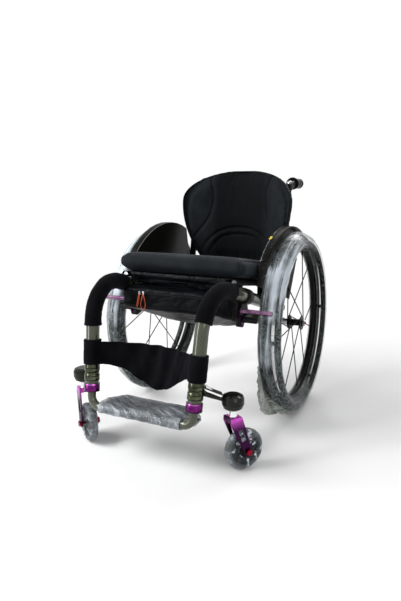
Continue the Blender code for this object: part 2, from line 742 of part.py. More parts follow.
def make_caster(side, sign, turn, look):
    """The fork, stem and axle bolt swivel, and the wheel also spins. In its own frame it trails along +Y."""
    place = Matrix.Translation(at(sign * CASTER_X, CASTER_Y, 0)) @ Matrix.Rotation(turn, 4, "Z")
    swivel = pivot(f"caster_swivel_{side}", place)
    spin = pivot(f"caster_spin_{side}", Matrix.Translation((0, CASTER_TRAIL, CASTER_R)), swivel)
    half = FORK_HALF_WIDTH
    inset = FORK_WALL / 3
    crown_low = (inset - half, inset - CROWN_HALF_Y, FORK_TOP_Z - CROWN_HEIGHT + inset)
    crown = box(crown_low, (half - inset, CROWN_HALF_Y - inset, FORK_TOP_Z + inset / 3))
    narrow_fork(crown)
    fork = finish(f"caster_fork_{side}", crown, look["purple"], swivel)
    top = [(CROWN_HALF_Y, FORK_TOP_Z), (-CROWN_HALF_Y, FORK_TOP_Z)]
    top += [(-CROWN_HALF_Y, FORK_TOP_Z - CROWN_HEIGHT)]
    foot = arc((CASTER_TRAIL, CASTER_R), FORK_FOOT_R, 205, 385, 8)
    for name, near, far in (("in", -half, -half + FORK_WALL), ("out", half - FORK_WALL, half)):
        bm = plate(top + foot, near, far)
        bm.transform(Matrix.Translation((0, -AXLE_Y, 0)))
        narrow_fork(bm)
        boolean(fork, helper(f"fork_blade_{name}_{side}", bm, swivel), "UNION")
    middle_z = (WINDOW_LOW_Z + WINDOW_TOP_Z) / 2
    share = (FORK_TOP_Z - middle_z) / (FORK_TOP_Z - CASTER_R)
    window = box(
        (-half - 0.01, -WINDOW_HALF_Y, WINDOW_LOW_Z - middle_z),
        (half + 0.01, WINDOW_HALF_Y, WINDOW_TOP_Z - middle_z),
    )
    lean = math.atan2(CASTER_TRAIL, FORK_TOP_Z - CASTER_R)
    window.transform(Matrix.Translation((0, CASTER_TRAIL * share, middle_z)) @ Matrix.Rotation(lean, 4, "X"))
    boolean(fork, helper(f"fork_window_{side}", window, swivel), "DIFFERENCE")
    reach = Vector((half + 0.01, 0, 0))
    hub = Vector((0, CASTER_TRAIL, CASTER_R))
    cutter = helper(f"fork_bolt_hole_{side}", rod(hub - reach, hub + reach, BOLT_R + GAP), swivel)
    boolean(fork, cutter, "DIFFERENCE")

    stem_low = FORK_TOP_Z + inset / 3 + GAP
    neck_top = HOUSING_LOW_Z - GAP
    stem_top = HOUSING_TOP_Z - HOUSING_ROOF - GAP
    profile = [(0, stem_low), (NECK_R, stem_low), (NECK_R * 0.8, neck_top), (STEM_R, neck_top)]
    profile += [(STEM_R, stem_top), (0, stem_top)]
    finish(f"caster_stem_{side}", lathe(profile, 16), look["steel"], swivel)

    head = half * (1 + FORK_LEAN * BOLT_HEAD_R) + GAP
    end = head + BOLT_HEAD_WALL
    profile = [(0, -end), (BOLT_HEAD_R, -end), (BOLT_HEAD_R, -head), (BOLT_R, -head)]
    profile += [(BOLT_R, head), (BOLT_HEAD_R, head), (BOLT_HEAD_R, end), (0, end)]
    bolt = lathe(profile, 12, Matrix.Translation(hub) @ X_AXIS)
    finish(f"caster_bolt_{side}", bolt, look["red"], swivel)

    hub_half = (half - FORK_WALL) * (1 - FORK_LEAN * CASTER_HUB_R) - RUNNING
    disc = CASTER_DISC_WALL / 2
    tread = CASTER_TYRE_WIDTH / 2
    well = CASTER_R - CASTER_TYRE_DEPTH
    bore = BOLT_R + RUNNING
    profile = [(bore, -hub_half), (CASTER_HUB_R * 0.8, -hub_half), (CASTER_HUB_R, -disc), (well, -disc)]
    profile += [(well + 0.002, -tread), (CASTER_R - 0.003, -tread * 0.9), (CASTER_R, -tread * 0.4)]
    profile += [(radius, -height) for radius, height in reversed(profile)]
    wheel = wheel_lathe(profile, CASTER_SIDES, X_AXIS)
    finish(f"caster_wheel_{side}", wheel, look["caster"], spin)


# Axle and rear wheels


def wheel_pivot(side, sign):
    turn = Matrix.Rotation(-sign * CAMBER, 4, "Y")
    return pivot(f"rear_wheel_{side}", Matrix.Translation(at(sign * WHEEL_X, 0, AXLE_Z)) @ turn)


def out_of(sign):
    """Turns +Z outwards along X."""
    return Matrix.Rotation(sign * math.pi / 2, 4, "Y")


def make_axle(look):
    half = AXLE_TUBE_HALF
    bore = AXLE_SLEEVE_R + 2 * GAP
    deep = half - AXLE_SLEEVE_REACH
    profile = [(0, -deep), (bore, -deep), (bore, -half), (TUBE_R, -half)]
    profile += [(TUBE_R, half), (bore, half), (bore, deep), (0, deep)]
    finish("axle_tube", lathe(profile, 20, Matrix.Translation(at(0, 0, AXLE_Z)) @ X_AXIS), look["carbon"])


def make_axle_sleeve(side, sign, wheel, look):
    """The socket at the axle tube's end, bored along the cambered axle."""
    half = AXLE_TUBE_HALF
    low = half - AXLE_SLEEVE_REACH + GAP
    nose = WHEEL_X - HUB_IN - RUNNING
    collar = half + GAP
    profile = [(0, low), (AXLE_SLEEVE_R, low), (AXLE_SLEEVE_R, collar), (TUBE_R, collar)]
    profile += [(TUBE_R, collar + 0.012), (AXLE_NOSE_R, collar + 0.018), (AXLE_NOSE_R, nose), (0, nose)]
    place = Matrix.Translation(at(0, 0, AXLE_Z)) @ out_of(sign)
    sleeve = finish(f"axle_sleeve_{side}", lathe(profile, 20, place), look["steel"])
    bore = (AXLE_PIN_R + RUNNING) / math.cos(math.pi / 16)
    start = Vector((-sign * (AXLE_PIN_IN + 0.001), 0, 0))
    cutter = rod(start, Vector((sign * 0.02, 0, 0)), bore, 16)
    boolean(sleeve, helper(f"sleeve_bore_{side}", cutter, wheel), "DIFFERENCE")


def make_rear_wheel(side, sign, wheel, look):
    outwards = out_of(sign)
    middle = TYRE_R - TYRE_DEPTH / 2
    profile = []
    for step in range(8):
        angle = 2 * math.pi * step / 8
        profile.append((middle + TYRE_DEPTH / 2 * math.cos(angle), TYRE_WIDTH / 2 * math.sin(angle)))
    finish(f"tyre_{side}", wheel_lathe(profile, WHEEL_SIDES, outwards), look["tyre"], wheel)

    inner = RIM_R - RIM_DEPTH
    well = RIM_WIDTH / 2
    profile = [(RIM_R, well * 0.75), (RIM_R - 0.008, well), (inner, well * 0.7)]
    profile += [(radius, -height) for radius, height in reversed(profile)]
    finish(f"rim_{side}", wheel_lathe(profile, WHEEL_SIDES, outwards), look["black"], wheel)
    make_hub(side, sign, wheel, inner, look)
    make_handrim(side, sign, wheel, well, look)
    make_axle_pin(side, sign, wheel, look)


def make_hub(side, sign, wheel, rim_inner, look):
    """The hub shell, its two flanges and the spokes, laced in pairs that cross near the rim."""
    bore = (AXLE_PIN_R + RUNNING) / math.cos(math.pi / 16)
    inner = -HUB_IN + FLANGE_INSET
    outer = HUB_OUT - FLANGE_INSET
    profile = [(bore, -HUB_IN), (HUB_SHELL_R, -HUB_IN), (HUB_SHELL_R, inner), (FLANGE_R, inner)]
    profile += [(FLANGE_R, inner + FLANGE_WALL), (HUB_SHELL_R, inner + FLANGE_WALL * 1.5)]
    profile += [(HUB_SHELL_R, outer - FLANGE_WALL * 1.5), (FLANGE_R, outer - FLANGE_WALL), (FLANGE_R, outer)]
    profile += [(HUB_SHELL_R, outer), (HUB_SHELL_R, HUB_OUT), (bore, HUB_OUT)]
    hub = finish(f"hub_{side}", lathe(profile, 14, out_of(sign)), look["black"], wheel)
    rim_end = rim_inner - GAP
    spokes = bmesh.new()
    for pair in range(SPOKE_PAIRS):
        for twist, flange in ((1, outer - FLANGE_WALL / 2), (-1, inner + FLANGE_WALL / 2)):
            rim_turn = SPOKE_PAIR_TURN + 2 * math.pi * pair / SPOKE_PAIRS + twist * SPOKE_HALF_SPREAD
            hub_turn = rim_turn - twist * SPOKE_LEAD
            root = FLANGE_R - SPOKE_R * 2.2
            start = Vector((sign * flange, root * math.cos(hub_turn), root * math.sin(hub_turn)))
            end = Vector((0, rim_end * math.cos(rim_turn), rim_end * math.sin(rim_turn)))
            bar = rod(start, end, SPOKE_R, 6)
            add_to(spokes, bar)
    boolean(hub, helper(f"spokes_{side}", spokes, wheel), "UNION")


def make_handrim(side, sign, wheel, well, look):
    profile = []
    for step in range(8):
        angle = 2 * math.pi * step / 8
        radius = HANDRIM_R + HANDRIM_TUBE_R * math.cos(angle)
        profile.append((radius, HANDRIM_OUT + HANDRIM_TUBE_R * math.sin(angle)))
    rim = finish(f"handrim_{side}", wheel_lathe(profile, WHEEL_SIDES, out_of(sign)), look["black"], wheel)
    tabs = bmesh.new()
    seat = well + GAP
    low = HANDRIM_R - 0.57 * HANDRIM_TAB_WALL
    for tab in range(HANDRIM_TABS):
        piece = box((low, -HANDRIM_TAB_HALF, seat), (low + HANDRIM_TAB_WALL, HANDRIM_TAB_HALF, HANDRIM_OUT))
        turn = Matrix.Rotation(2 * math.pi * (tab + 0.5) / HANDRIM_TABS, 4, "Z")
        piece.transform(out_of(sign) @ turn)
        add_to(tabs, piece)
    boolean(rim, helper(f"handrim_tabs_{side}", tabs, wheel), "UNION")


def make_axle_pin(side, sign, wheel, look):
    """The quick-release axle, and the button in its head."""
    head = HUB_OUT + GAP
    end = head + AXLE_HEAD_WALL
    hole = (BUTTON_R + GAP) / math.cos(math.pi / 12)
    floor = end - BUTTON_DEPTH - BUTTON_TRAVEL - GAP
    profile = [(0, -AXLE_PIN_IN), (AXLE_PIN_R * 0.8, -AXLE_PIN_IN), (AXLE_PIN_R, -AXLE_PIN_IN + EDGE)]
    profile += [(AXLE_PIN_R, head), (AXLE_HEAD_R, head), (AXLE_HEAD_R, end)]
    profile += [(hole, end), (hole, floor), (0, floor)]
    finish(f"axle_pin_{side}", lathe(profile, 12, out_of(sign)), look["steel"], wheel)
    profile = [(0, -BUTTON_DEPTH), (BUTTON_R, -BUTTON_DEPTH), (BUTTON_R, BUTTON_OUT), (0, BUTTON_OUT)]
    slide = pivot(f"axle_button_slide_{side}", Matrix.Translation((sign * end, 0, 0)), wheel)
    finish(f"axle_button_{side}", lathe(profile, 12, out_of(sign)), look["black"], slide)


# Rear brackets, guards, seat and bag


def make_rear_bracket(side, sign, look):
    """Joins the side tube, the axle tube and the seat rail, and carries the backrest's hinge."""
    outer = RAIL_X - RAIL_R - GAP
    inner = outer - BRACKET_WALL
    outline = arc((0, AXLE_Z), TUBE_R + BRACKET_COLLAR_WALL, 180, 360, 8)
    outline += [(BACK_HINGE_Y * 0.55, (AXLE_Z + BACK_HINGE_Z) / 2 - BRACKET_WAIST)]
    outline += arc((BACK_HINGE_Y, BACK_HINGE_Z), BACK_LUG_R, -30, 135, 6)
    outline += [(BACK_HINGE_Y * 0.3, side_tube_z(0) + TUBE_R * 2), (-TUBE_R * 1.4, side_tube_z(0) + TUBE_R)]
    bracket = finish(f"rear_bracket_{side}", plate(outline, sign * inner, sign * outer), look["black"])
    reach = BRACKET_COLLAR_LENGTH / 2
    front = side_tube_point(sign, -reach)
    rear = side_tube_point(sign, reach * 0.75)
    stop = front + (rear - front) * 3
    ahead = front - (rear - front)
    collar = rod(front, rear, TUBE_R + BRACKET_COLLAR_WALL, 20)
    boolean(bracket, helper(f"bracket_collar_{side}", collar), "UNION")
    clear = (TUBE_R + GAP) / math.cos(math.pi / 20)
    boolean(bracket, helper(f"bracket_tube_hole_{side}", rod(ahead, stop, clear, 20)), "DIFFERENCE")
    near = at(sign * (inner - 0.01), 0, AXLE_Z)
    far = at(sign * (outer + 0.06), 0, AXLE_Z)
    boolean(bracket, helper(f"bracket_axle_hole_{side}", rod(near, far, clear, 20)), "DIFFERENCE")
    pin_start = at(sign * (inner + 0.004), BACK_HINGE_Y, BACK_HINGE_Z)
    pin_end = at(sign * (POST_X + POST_R), BACK_HINGE_Y, BACK_HINGE_Z)
    boolean(bracket, helper(f"back_hinge_pin_{side}", rod(pin_start, pin_end, BACK_HINGE_R)), "UNION")


def make_seat(look):
    for side, sign in SIDES:
        front = at(sign * RAIL_X, RAIL_FRONT_Y, rail_z(RAIL_FRONT_Y))
        rear_y = BACK_HINGE_Y - BACK_LUG_R
        rear = at(sign * RAIL_X, rear_y, rail_z(rear_y))
        finish(f"seat_rail_{side}", rod(front, rear, RAIL_R, 12), look["steel"])
    x = SLING_HALF_X
    rear_y = CUSHION_REAR_Y
    top = [(RAIL_FRONT_Y - 0.004, seat_z(RAIL_FRONT_Y) + 0.0007), (rear_y, seat_z(rear_y))]
    low = [(y, z - SLING_WALL) for y, z in reversed(top)]
    front_y, front_z = low[-1]
    sling = finish("seat_sling", plate(top + low, -x, x), look["nylon"])
    front_top = front_z + SLING_WALL / 2
    hem = [(front_y, front_top), (front_y + SLING_WALL, front_top)]
    hem += [(front_y + SLING_WALL, front_z - SLING_HEM), (front_y, front_z - SLING_HEM)]
    boolean(sling, helper("sling_hem", plate(hem, -SLING_HEM_HALF_X, SLING_HEM_HALF_X)), "UNION")


def rounded_stops(half, radius, spans):
    """Places along one side of a rounded box: evenly turned round the corners, evenly spaced between them."""
    flat = half - radius
    turn = [flat + radius * math.tan(math.pi / 4 * step / ROUND_STEPS) for step in range(1, ROUND_STEPS + 1)]
    return [-stop for stop in reversed(turn)] + [flat * (2 * k / spans - 1) for k in range(spans + 1)] + turn


def soft_block(size, radius, spans):
    """A closed box with round edges. spans gives the divisions of its flat middle along each axis."""
    halves = [length / 2 for length in size]
    stops = [rounded_stops(half, radius, count) for half, count in zip(halves, spans)]
    bm = bmesh.new()
    made = {}

    def corner(key):
        if key not in made:
            place = Vector(line[index] for line, index in zip(stops, key))
            flat = Vector(max(radius - half, min(half - radius, value)) for half, value in zip(halves, place))
            made[key] = bm.verts.new(flat + (place - flat).normalized() * radius)
        return made[key]

    for axis in range(3):
        first, second = (axis + 1) % 3, (axis + 2) % 3
        for end in (0, len(stops[axis]) - 1):
            for i in range(len(stops[first]) - 1):
                for j in range(len(stops[second]) - 1):
                    keys = []
                    for a, b in ((i, j), (i + 1, j), (i + 1, j + 1), (i, j + 1)):
                        key = [end, end, end]
                        key[first] = a
                        key[second] = b
                        keys.append(tuple(key))
                    bm.faces.new([corner(key) for key in keys])
    return bm


def make_cushion(look):
    """The seat cushion: crowned on top, with a full round roll at its front and sides."""
    depth = CUSHION_REAR_Y - CUSHION_FRONT_Y
    bm = soft_block((2 * CUSHION_HALF_X, depth, CUSHION_THICK), CUSHION_ROUND, (4, 4, 1))
    for vert in bm.verts:
        across = min(1.0, abs(vert.co.x) / CUSHION_HALF_X)
        along_y = min(1.0, abs(vert.co.y) / (depth / 2))
        up = vert.co.z / (CUSHION_THICK / 2)
        if up > 0:
            vert.co.z += CUSHION_CROWN * up * (1 - across**2) * (1 - along_y**2)
    slope = math.atan(SEAT_SLOPE)
    middle_y = (CUSHION_REAR_Y + CUSHION_FRONT_Y) / 2
    lift = (CUSHION_THICK / 2 + GAP * 3) / math.cos(slope)
    place = Matrix.Translation(at(0, middle_y, seat_z(middle_y) + lift)) @ Matrix.Rotation(-slope, 4, "X")
    bm.transform(place)
    finish("seat_cushion", bm, look["fabric"])


def make_bag(look):
    """A soft bag hung under the sling, deeper towards the rear."""
    front_top = seat_z(RAIL_FRONT_Y) - SLING_WALL - SLING_HEM - BAG_SHOULDER
    shoulder = RAIL_FRONT_Y + BAG_SHOULDER
    outline = [(BAG_FRONT_Y, front_top), (BAG_FRONT_Y, BAG_FRONT_LOW_Z), (BAG_REAR_Y, BAG_REAR_LOW_Z)]
    outline += [(y, seat_z(y) - SLING_WALL - GAP) for y in (BAG_REAR_Y, shoulder)]
    outline += [(shoulder, front_top)]
    bm = plate(outline, -BAG_HALF_X, BAG_HALF_X)
    bmesh.ops.recalc_face_normals(bm, faces=bm.faces)
    bmesh.ops.bevel(bm, geom=bm.edges[:], offset=BAG_ROUND / 2, segments=2, profile=0.5, affect="EDGES")
    finish("underseat_bag", bm, look["nylon"])


def make_side_guard(side, sign, look):
    """A flat panel beside the seat with a lip over the tyre, on two tabs down to the side tube."""
    inner = GUARD_X
    outer = GUARD_X + GUARD_WALL

    def low_edge(y):
        return side_tube_z(y) + GUARD_RISE

    front = math.degrees(math.pi - GUARD_FRONT)
    rear = math.degrees(math.pi - GUARD_REAR)
    crest = arc((0, AXLE_Z), GUARD_R, front, rear, GUARD_STEPS)
    outline = [(GUARD_FRONT_Y, low_edge(GUARD_FRONT_Y))] + crest
    outline.append((GUARD_REAR_Y, AXLE_Z + GUARD_R * GUARD_REAR_SHARE))
    outline.append((GUARD_LOW_REAR_Y, low_edge(GUARD_LOW_REAR_Y)))
    guard = finish(f"side_guard_{side}", plate(outline, sign * inner, sign * outer), look["carbon"])
    lip = crest + list(reversed(arc((0, AXLE_Z), GUARD_R - GUARD_WALL, front, rear, GUARD_STEPS)))
    middle = sign * (inner + GUARD_WALL / 2)
    boolean(guard, helper(f"guard_lip_{side}", plate(lip, middle, sign * (inner + GUARD_LIP))), "UNION")
    tabs = bmesh.new()
    for y in GUARD_TAB_Y:
        tube = side_tube_point(sign, y)
        low = tube + Vector((0, -GUARD_TAB_HALF, 0))
        top_z = tube.z + GUARD_RISE + GUARD_TAB_LAP
        high = Vector((sign * (inner + GUARD_WALL / 2), tube.y + GUARD_TAB_HALF, top_z))
        piece = box([min(a, b) for a, b in zip(low, high)], [max(a, b) for a, b in zip(low, high)])
        add_to(tabs, piece)
    boolean(guard, helper(f"guard_tabs_{side}", tabs), "UNION")
    front_of = side_tube_point(sign, GUARD_FRONT_Y)
    clear = (TUBE_R + GAP) / math.cos(math.pi / 20)
    cutter = rod(front_of, side_tube_point(sign, SIDE_TUBE_REAR_Y + 0.05), clear, 20)
    boolean(guard, helper(f"guard_tube_hole_{side}", cutter), "DIFFERENCE")


# Brakes


def make_brake(side, sign, look):
    """The mount hangs from the side tube; the arm swings the rod at the tyre and the lever drives it."""
    saddle_y = BRAKE_PIVOT_Y + BRAKE_SADDLE_SET_BACK
    tube_z = side_tube_z(saddle_y)
    lever_at = (LEVER_PIVOT_Y, LEVER_PIVOT_Z)
    arm_at = (BRAKE_PIVOT_Y, BRAKE_PIVOT_Z)
    half = BRAKE_SADDLE_LENGTH / 2
    outline = arc(arm_at, BRAKE_ARM_R, 150, 270, 4) + arc(lever_at, LEVER_R, 270, 390, 4)
    outline += [(saddle_y + half, tube_z), (saddle_y - half, tube_z)]
    mount = finish(
        f"brake_mount_{side}", plate(outline, sign * BRAKE_PLATE_IN, sign * BRAKE_PLATE_OUT), look["black"]
    )
    front = side_tube_point(sign, saddle_y - half)
    rear = side_tube_point(sign, saddle_y + half)
    collar = rod(front, rear, TUBE_R + BRAKE_SADDLE_WALL, 20)
    boolean(mount, helper(f"brake_collar_{side}", collar), "UNION")
    arm_in = BRAKE_PLATE_OUT + GAP
    arm_out = arm_in + BRAKE_ARM_WALL
    lever_in = arm_out + GAP
    lever_out = lever_in + LEVER_WALL
    studs = (("arm", arm_at, arm_out), ("lever", lever_at, lever_out))
    for name, (y, z), end in studs:
        stud = rod(at(sign * (BRAKE_PLATE_IN + 0.004), y, z), at(sign * end, y, z), BRAKE_PIVOT_R)
        boolean(mount, helper(f"brake_{name}_stud_{side}", stud), "UNION")
    clear = (TUBE_R + GAP) / math.cos(math.pi / 20)
    cutter = rod(front * 2 - rear, rear * 2 - front, clear, 20)
    boolean(mount, helper(f"brake_tube_hole_{side}", cutter), "DIFFERENCE")

    arm_hinge = pivot(f"brake_arm_hinge_{side}", Matrix.Translation(at(0, *arm_at)))
    to_hinge = Matrix.Translation(-at(0, *arm_at))
    rod_at = (BRAKE_ROD_Y, BRAKE_ROD_Z)
    body = plate(capsule(arm_at, rod_at, BRAKE_ARM_R, BRAKE_ROD_R + 0.002), sign * arm_in, sign * arm_out)
    body.transform(to_hinge)
    arm = finish(f"brake_arm_{side}", body, look["purple"], arm_hinge)
    bar = rod(at(sign * (arm_in + 0.001), *rod_at), at(sign * BRAKE_ROD_X, *rod_at), BRAKE_ROD_R)
    bar.transform(to_hinge)
    boolean(arm, helper(f"brake_rod_{side}", bar, arm_hinge), "UNION")
    hole = (BRAKE_PIVOT_R + GAP) / math.cos(math.pi / 12)
    reach = Vector((0.02, 0, 0))
    middle = Vector((sign * arm_in, 0, 0))
    cutter = helper(f"brake_arm_hole_{side}", rod(middle - reach, middle + reach, hole), arm_hinge)
    boolean(arm, cutter, "DIFFERENCE")

    lever_hinge = pivot(f"brake_lever_hinge_{side}", Matrix.Translation(at(0, *lever_at)))
    to_hinge = Matrix.Translation(-at(0, *lever_at))
    tip = (LEVER_PIVOT_Y - LEVER_LENGTH, LEVER_PIVOT_Z)
    body = plate(capsule(tip, lever_at, LEVER_R, LEVER_R), sign * lever_in, sign * lever_out)
    body.transform(to_hinge)
    lever = finish(f"brake_lever_{side}", body, look["black"], lever_hinge)
    grip = rod(at(sign * (lever_in + 0.002), *tip), at(sign * LEVER_BAR_X, *tip), LEVER_BAR_R, 14)
    grip.transform(to_hinge)
    boolean(lever, helper(f"lever_grip_{side}", grip, lever_hinge), "UNION")
    middle = Vector((sign * lever_in, 0, 0))
    cutter = rod(middle - reach, middle + reach, hole)
    boolean(lever, helper(f"brake_lever_hole_{side}", cutter, lever_hinge), "DIFFERENCE")


# Backrest


def back_half_width(z):
    if z <= BACK_WIDE_Z:
        return BACK_HALF_X - BACK_NARROWING * (BACK_WIDE_Z - z) ** 2
    share = (z - BACK_WIDE_Z) / (BACK_TOP_Z - BACK_WIDE_Z)
    return BACK_HALF_X * (1 - share**BACK_ROUNDNESS) ** (1 / BACK_ROUNDNESS)


def back_y(x, z):
    """The pad's back face, wrapped forwards at its sides."""
    return BACK_LOW_Y + PAD_WALL + BACK_LEAN * (z - BACK_LOW_Z) - BACK_WRAP * (x / BACK_HALF_X) ** 2


def seam(distance):
    return math.exp(-((distance / SEAM_WIDTH) ** 2))


def pad_wall(share, rise, x, z):
    """How thick the pad is: crowned, thin at its edge, drawn in along its seams."""
    edge = max(abs(share), abs(2 * rise - 1)) ** 6
    wall = PAD_EDGE_WALL + (PAD_WALL - PAD_EDGE_WALL) * (1 - edge)
    wall *= 1 + PAD_CROWN_SHARE * (1 - share**2) * (1 - edge) / 2
    arch = BACK_LOW_Z + (ARCH_TOP_Z - BACK_LOW_Z) * math.sqrt(max(0.0, 1 - (x / ARCH_HALF_X) ** 2))
    draw = seam(abs(abs(x) - SEAM_X)) if z > ARCH_TOP_Z else 0.0
    if abs(x) < ARCH_HALF_X:
        draw = max(draw, seam(z - arch))
    return wall - SEAM_DEPTH * draw * (1 - edge)


def back_stations():
    """Rows closer together where the outline turns over at the top."""
    rows = []
    for row in range(BACK_ROWS + 1):
        share = math.sin(0.5 * math.pi * row / BACK_ROWS)
        rows.append(BACK_LOW_Z + (BACK_TOP_Z - 0.0035 - BACK_LOW_Z) * share)
    return rows


def back_layers(bm, near, far, trim):
    """Two grids over the backrest's outline. near and far give each layer's y from (share, rise, x, z)."""
    layers = []
    rows = back_stations()
    for depth in (near, far):
        grid = []
        for column in range(BACK_COLUMNS + 1):
            share = 2 * column / BACK_COLUMNS - 1
            line = []
            for z in rows:
                rise = (z - BACK_LOW_Z) / (BACK_TOP_Z - BACK_LOW_Z)
                x = share * back_half_width(z) * trim
                kept = z if trim == 1 else min(z, BACK_TOP_Z - 0.010)
                line.append(bm.verts.new(at(x, depth(share, rise, x, kept), kept)))
            grid.append(line)
        layers.append(grid)
    close_layers(bm, *layers)


def make_backrest(look):
    hinge = pivot("backrest_hinge", Matrix.Translation(at(0, BACK_HINGE_Y, BACK_HINGE_Z)))
    to_hinge = Matrix.Translation(-at(0, BACK_HINGE_Y, BACK_HINGE_Z))
    bm = bmesh.new()
    facing = lambda s, r, x, z: back_y(x, z) - pad_wall(s, r, x, z)
    rear = lambda s, r, x, z: back_y(x, z)
    back_layers(bm, facing, rear, 1)
    bm.transform(to_hinge)
    finish("back_cushion", bm, look["fabric"], hinge)

    bm = bmesh.new()
    seat = 2 * GAP
    facing = lambda s, r, x, z: back_y(x, z) + seat
    rear = lambda s, r, x, z: back_y(x, z) + seat + SHELL_WALL
    back_layers(bm, facing, rear, SHELL_TRIM)
    bm.transform(to_hinge)
    shell = finish("back_shell", bm, look["carbon"], hinge)
    bosses = bmesh.new()
    for side, sign in SIDES:
        for z in BOSS_HEIGHTS:
            front = post_y(z) - BOSS_WALL / 2
            behind_pad = back_y(0, z + BOSS_HALF) + seat - front
            ends = (sign * BACK_HALF_X * math.sqrt(behind_pad / BACK_WRAP), sign * POST_X)
            low = at(min(ends), front, z - BOSS_HALF)
            high = at(max(ends), front + BOSS_WALL, z + BOSS_HALF)
            piece = box(low, high)
            add_to(bosses, piece)
    bosses.transform(to_hinge)
    boolean(shell, helper("shell_bosses", bosses, hinge), "UNION")
    for side, sign in SIDES:
        make_post(side, sign, hinge, shell, look)
    start_y = post_y(BRACE_Z + BRACE_R) + POST_R * math.hypot(1, POST_LEAN) + GAP
    bow_y = start_y + BRACE_BOW
    bends = [at(POST_X, start_y, BRACE_Z), at(POST_X, bow_y, BRACE_Z)]
    bends += [at(-POST_X, bow_y, BRACE_Z), at(-POST_X, start_y, BRACE_Z)]
    bar = sweep(fillet(bends, BRACE_BEND_R, 4), BRACE_R, 10)
    bar.transform(to_hinge)
    finish("back_brace", bar, look["steel"], hinge)


def make_post(side, sign, hinge, shell, look):
    """The backrest's upright, its foot on the hinge pin and its head carrying the push handle."""
    to_hinge = Matrix.Translation(-at(0, BACK_HINGE_Y, BACK_HINGE_Z))
    foot_z = BACK_HINGE_Z + BACK_LUG_R + RUNNING
    low = at(sign * POST_X, post_y(foot_z), foot_z)
    high = at(sign * POST_X, post_y(POST_TOP_Z), POST_TOP_Z)
    bm = rod(low, high, POST_R, 16)
    bm.transform(to_hinge)
    post = finish(f"back_post_{side}", bm, look["carbon"], hinge)
    clear = rod(low - (high - low) * 0.1, high + (high - low) * 0.1, POST_R + GAP, 16)
    clear.transform(to_hinge)
    boolean(shell, helper(f"shell_post_seat_{side}", clear, hinge), "DIFFERENCE")

    outer = RAIL_X - RAIL_R
    joined = foot_z + POST_R
    outline = capsule((BACK_HINGE_Y, BACK_HINGE_Z), (post_y(joined), joined), POST_R, POST_R * 0.8)
    eye = plate(outline, sign * (outer + GAP), sign * (POST_X + POST_R * 0.9))
    eye.transform(to_hinge)
    boolean(post, helper(f"post_eye_{side}", eye, hinge), "UNION")
    hole = (BACK_HINGE_R + GAP) / math.cos(math.pi / 12)
    start = Vector((sign * (outer - 0.005), 0, 0))
    end = Vector((sign * (POST_X + POST_R + 0.005), 0, 0))
    boolean(post, helper(f"post_pin_hole_{side}", rod(start, end, hole), hinge), "DIFFERENCE")

    pivot_y = HANDLE_PIVOT_Y
    pivot_z = POST_TOP_Z + POST_R / 2
    lug = capsule((post_y(POST_TOP_Z), pivot_z - POST_R), (pivot_y, pivot_z), POST_R, HANDLE_EYE_R)
    lug = plate(lug, sign * (POST_X + GAP), sign * (POST_X + POST_R))
    lug.transform(to_hinge)
    boolean(post, helper(f"handle_lug_{side}", lug, hinge), "UNION")
    inner, outer = sign * (POST_X - POST_R), sign * (POST_X + POST_R / 2)
    stud = rod(at(inner, pivot_y, pivot_z), at(outer, pivot_y, pivot_z), HANDLE_PIVOT_R)
    stud.transform(to_hinge)
    boolean(post, helper(f"handle_stud_{side}", stud, hinge), "UNION")

    centre = at(0, pivot_y, pivot_z)
    from_hinge = Matrix.Translation(centre - at(0, BACK_HINGE_Y, BACK_HINGE_Z))
    fold = pivot(f"push_handle_fold_{side}", from_hinge, hinge)
    bar_start = HANDLE_EYE_R + 6 * RUNNING
    neck_y = pivot_y + bar_start + HANDLE_STEM_R / 2
    outline = capsule((pivot_y, pivot_z), (neck_y, pivot_z), HANDLE_EYE_R, HANDLE_STEM_R * 0.7)
    eye = plate(outline, sign * (POST_X - POST_R), sign * POST_X)
    eye.transform(Matrix.Translation(-centre))
    stem = finish(f"handle_stem_{side}", eye, look["steel"], fold)
    axis_x = sign * (POST_X - POST_R / 2)
    start = Vector((axis_x, bar_start, 0))
    end = Vector((axis_x, HANDLE_STEM_LENGTH, 0))
    boolean(stem, helper(f"stem_bar_{side}", rod(start, end, HANDLE_STEM_R, 16), fold), "UNION")
    hole = (HANDLE_PIVOT_R + GAP) / math.cos(math.pi / 12)
    near = Vector((sign * (POST_X - POST_R - 0.005), 0, 0))
    far = Vector((sign * (POST_X + 0.005), 0, 0))
    boolean(stem, helper(f"stem_eye_hole_{side}", rod(near, far, hole), fold), "DIFFERENCE")

    bore = (HANDLE_STEM_R + GAP) / math.cos(math.pi / 16)
    length = GRIP_LENGTH
    deep = HANDLE_STEM_LENGTH - GRIP_START + GAP
    profile = [(0, length), (GRIP_R * 0.75, length), (GRIP_R, length - 0.005), (GRIP_R * 0.92, length * 0.75)]
    profile += [(GRIP_R * 0.92, length * 0.3), (GRIP_R, length * 0.1), (GRIP_R, 0)]
    profile += [(bore, 0), (bore, deep), (0, deep)]
    turn = Matrix.Translation((axis_x, GRIP_START, 0)) @ Matrix.Rotation(-math.pi / 2, 4, "X")
    finish(f"handle_grip_{side}", lathe(profile, 16, turn), look["rubber"], fold)


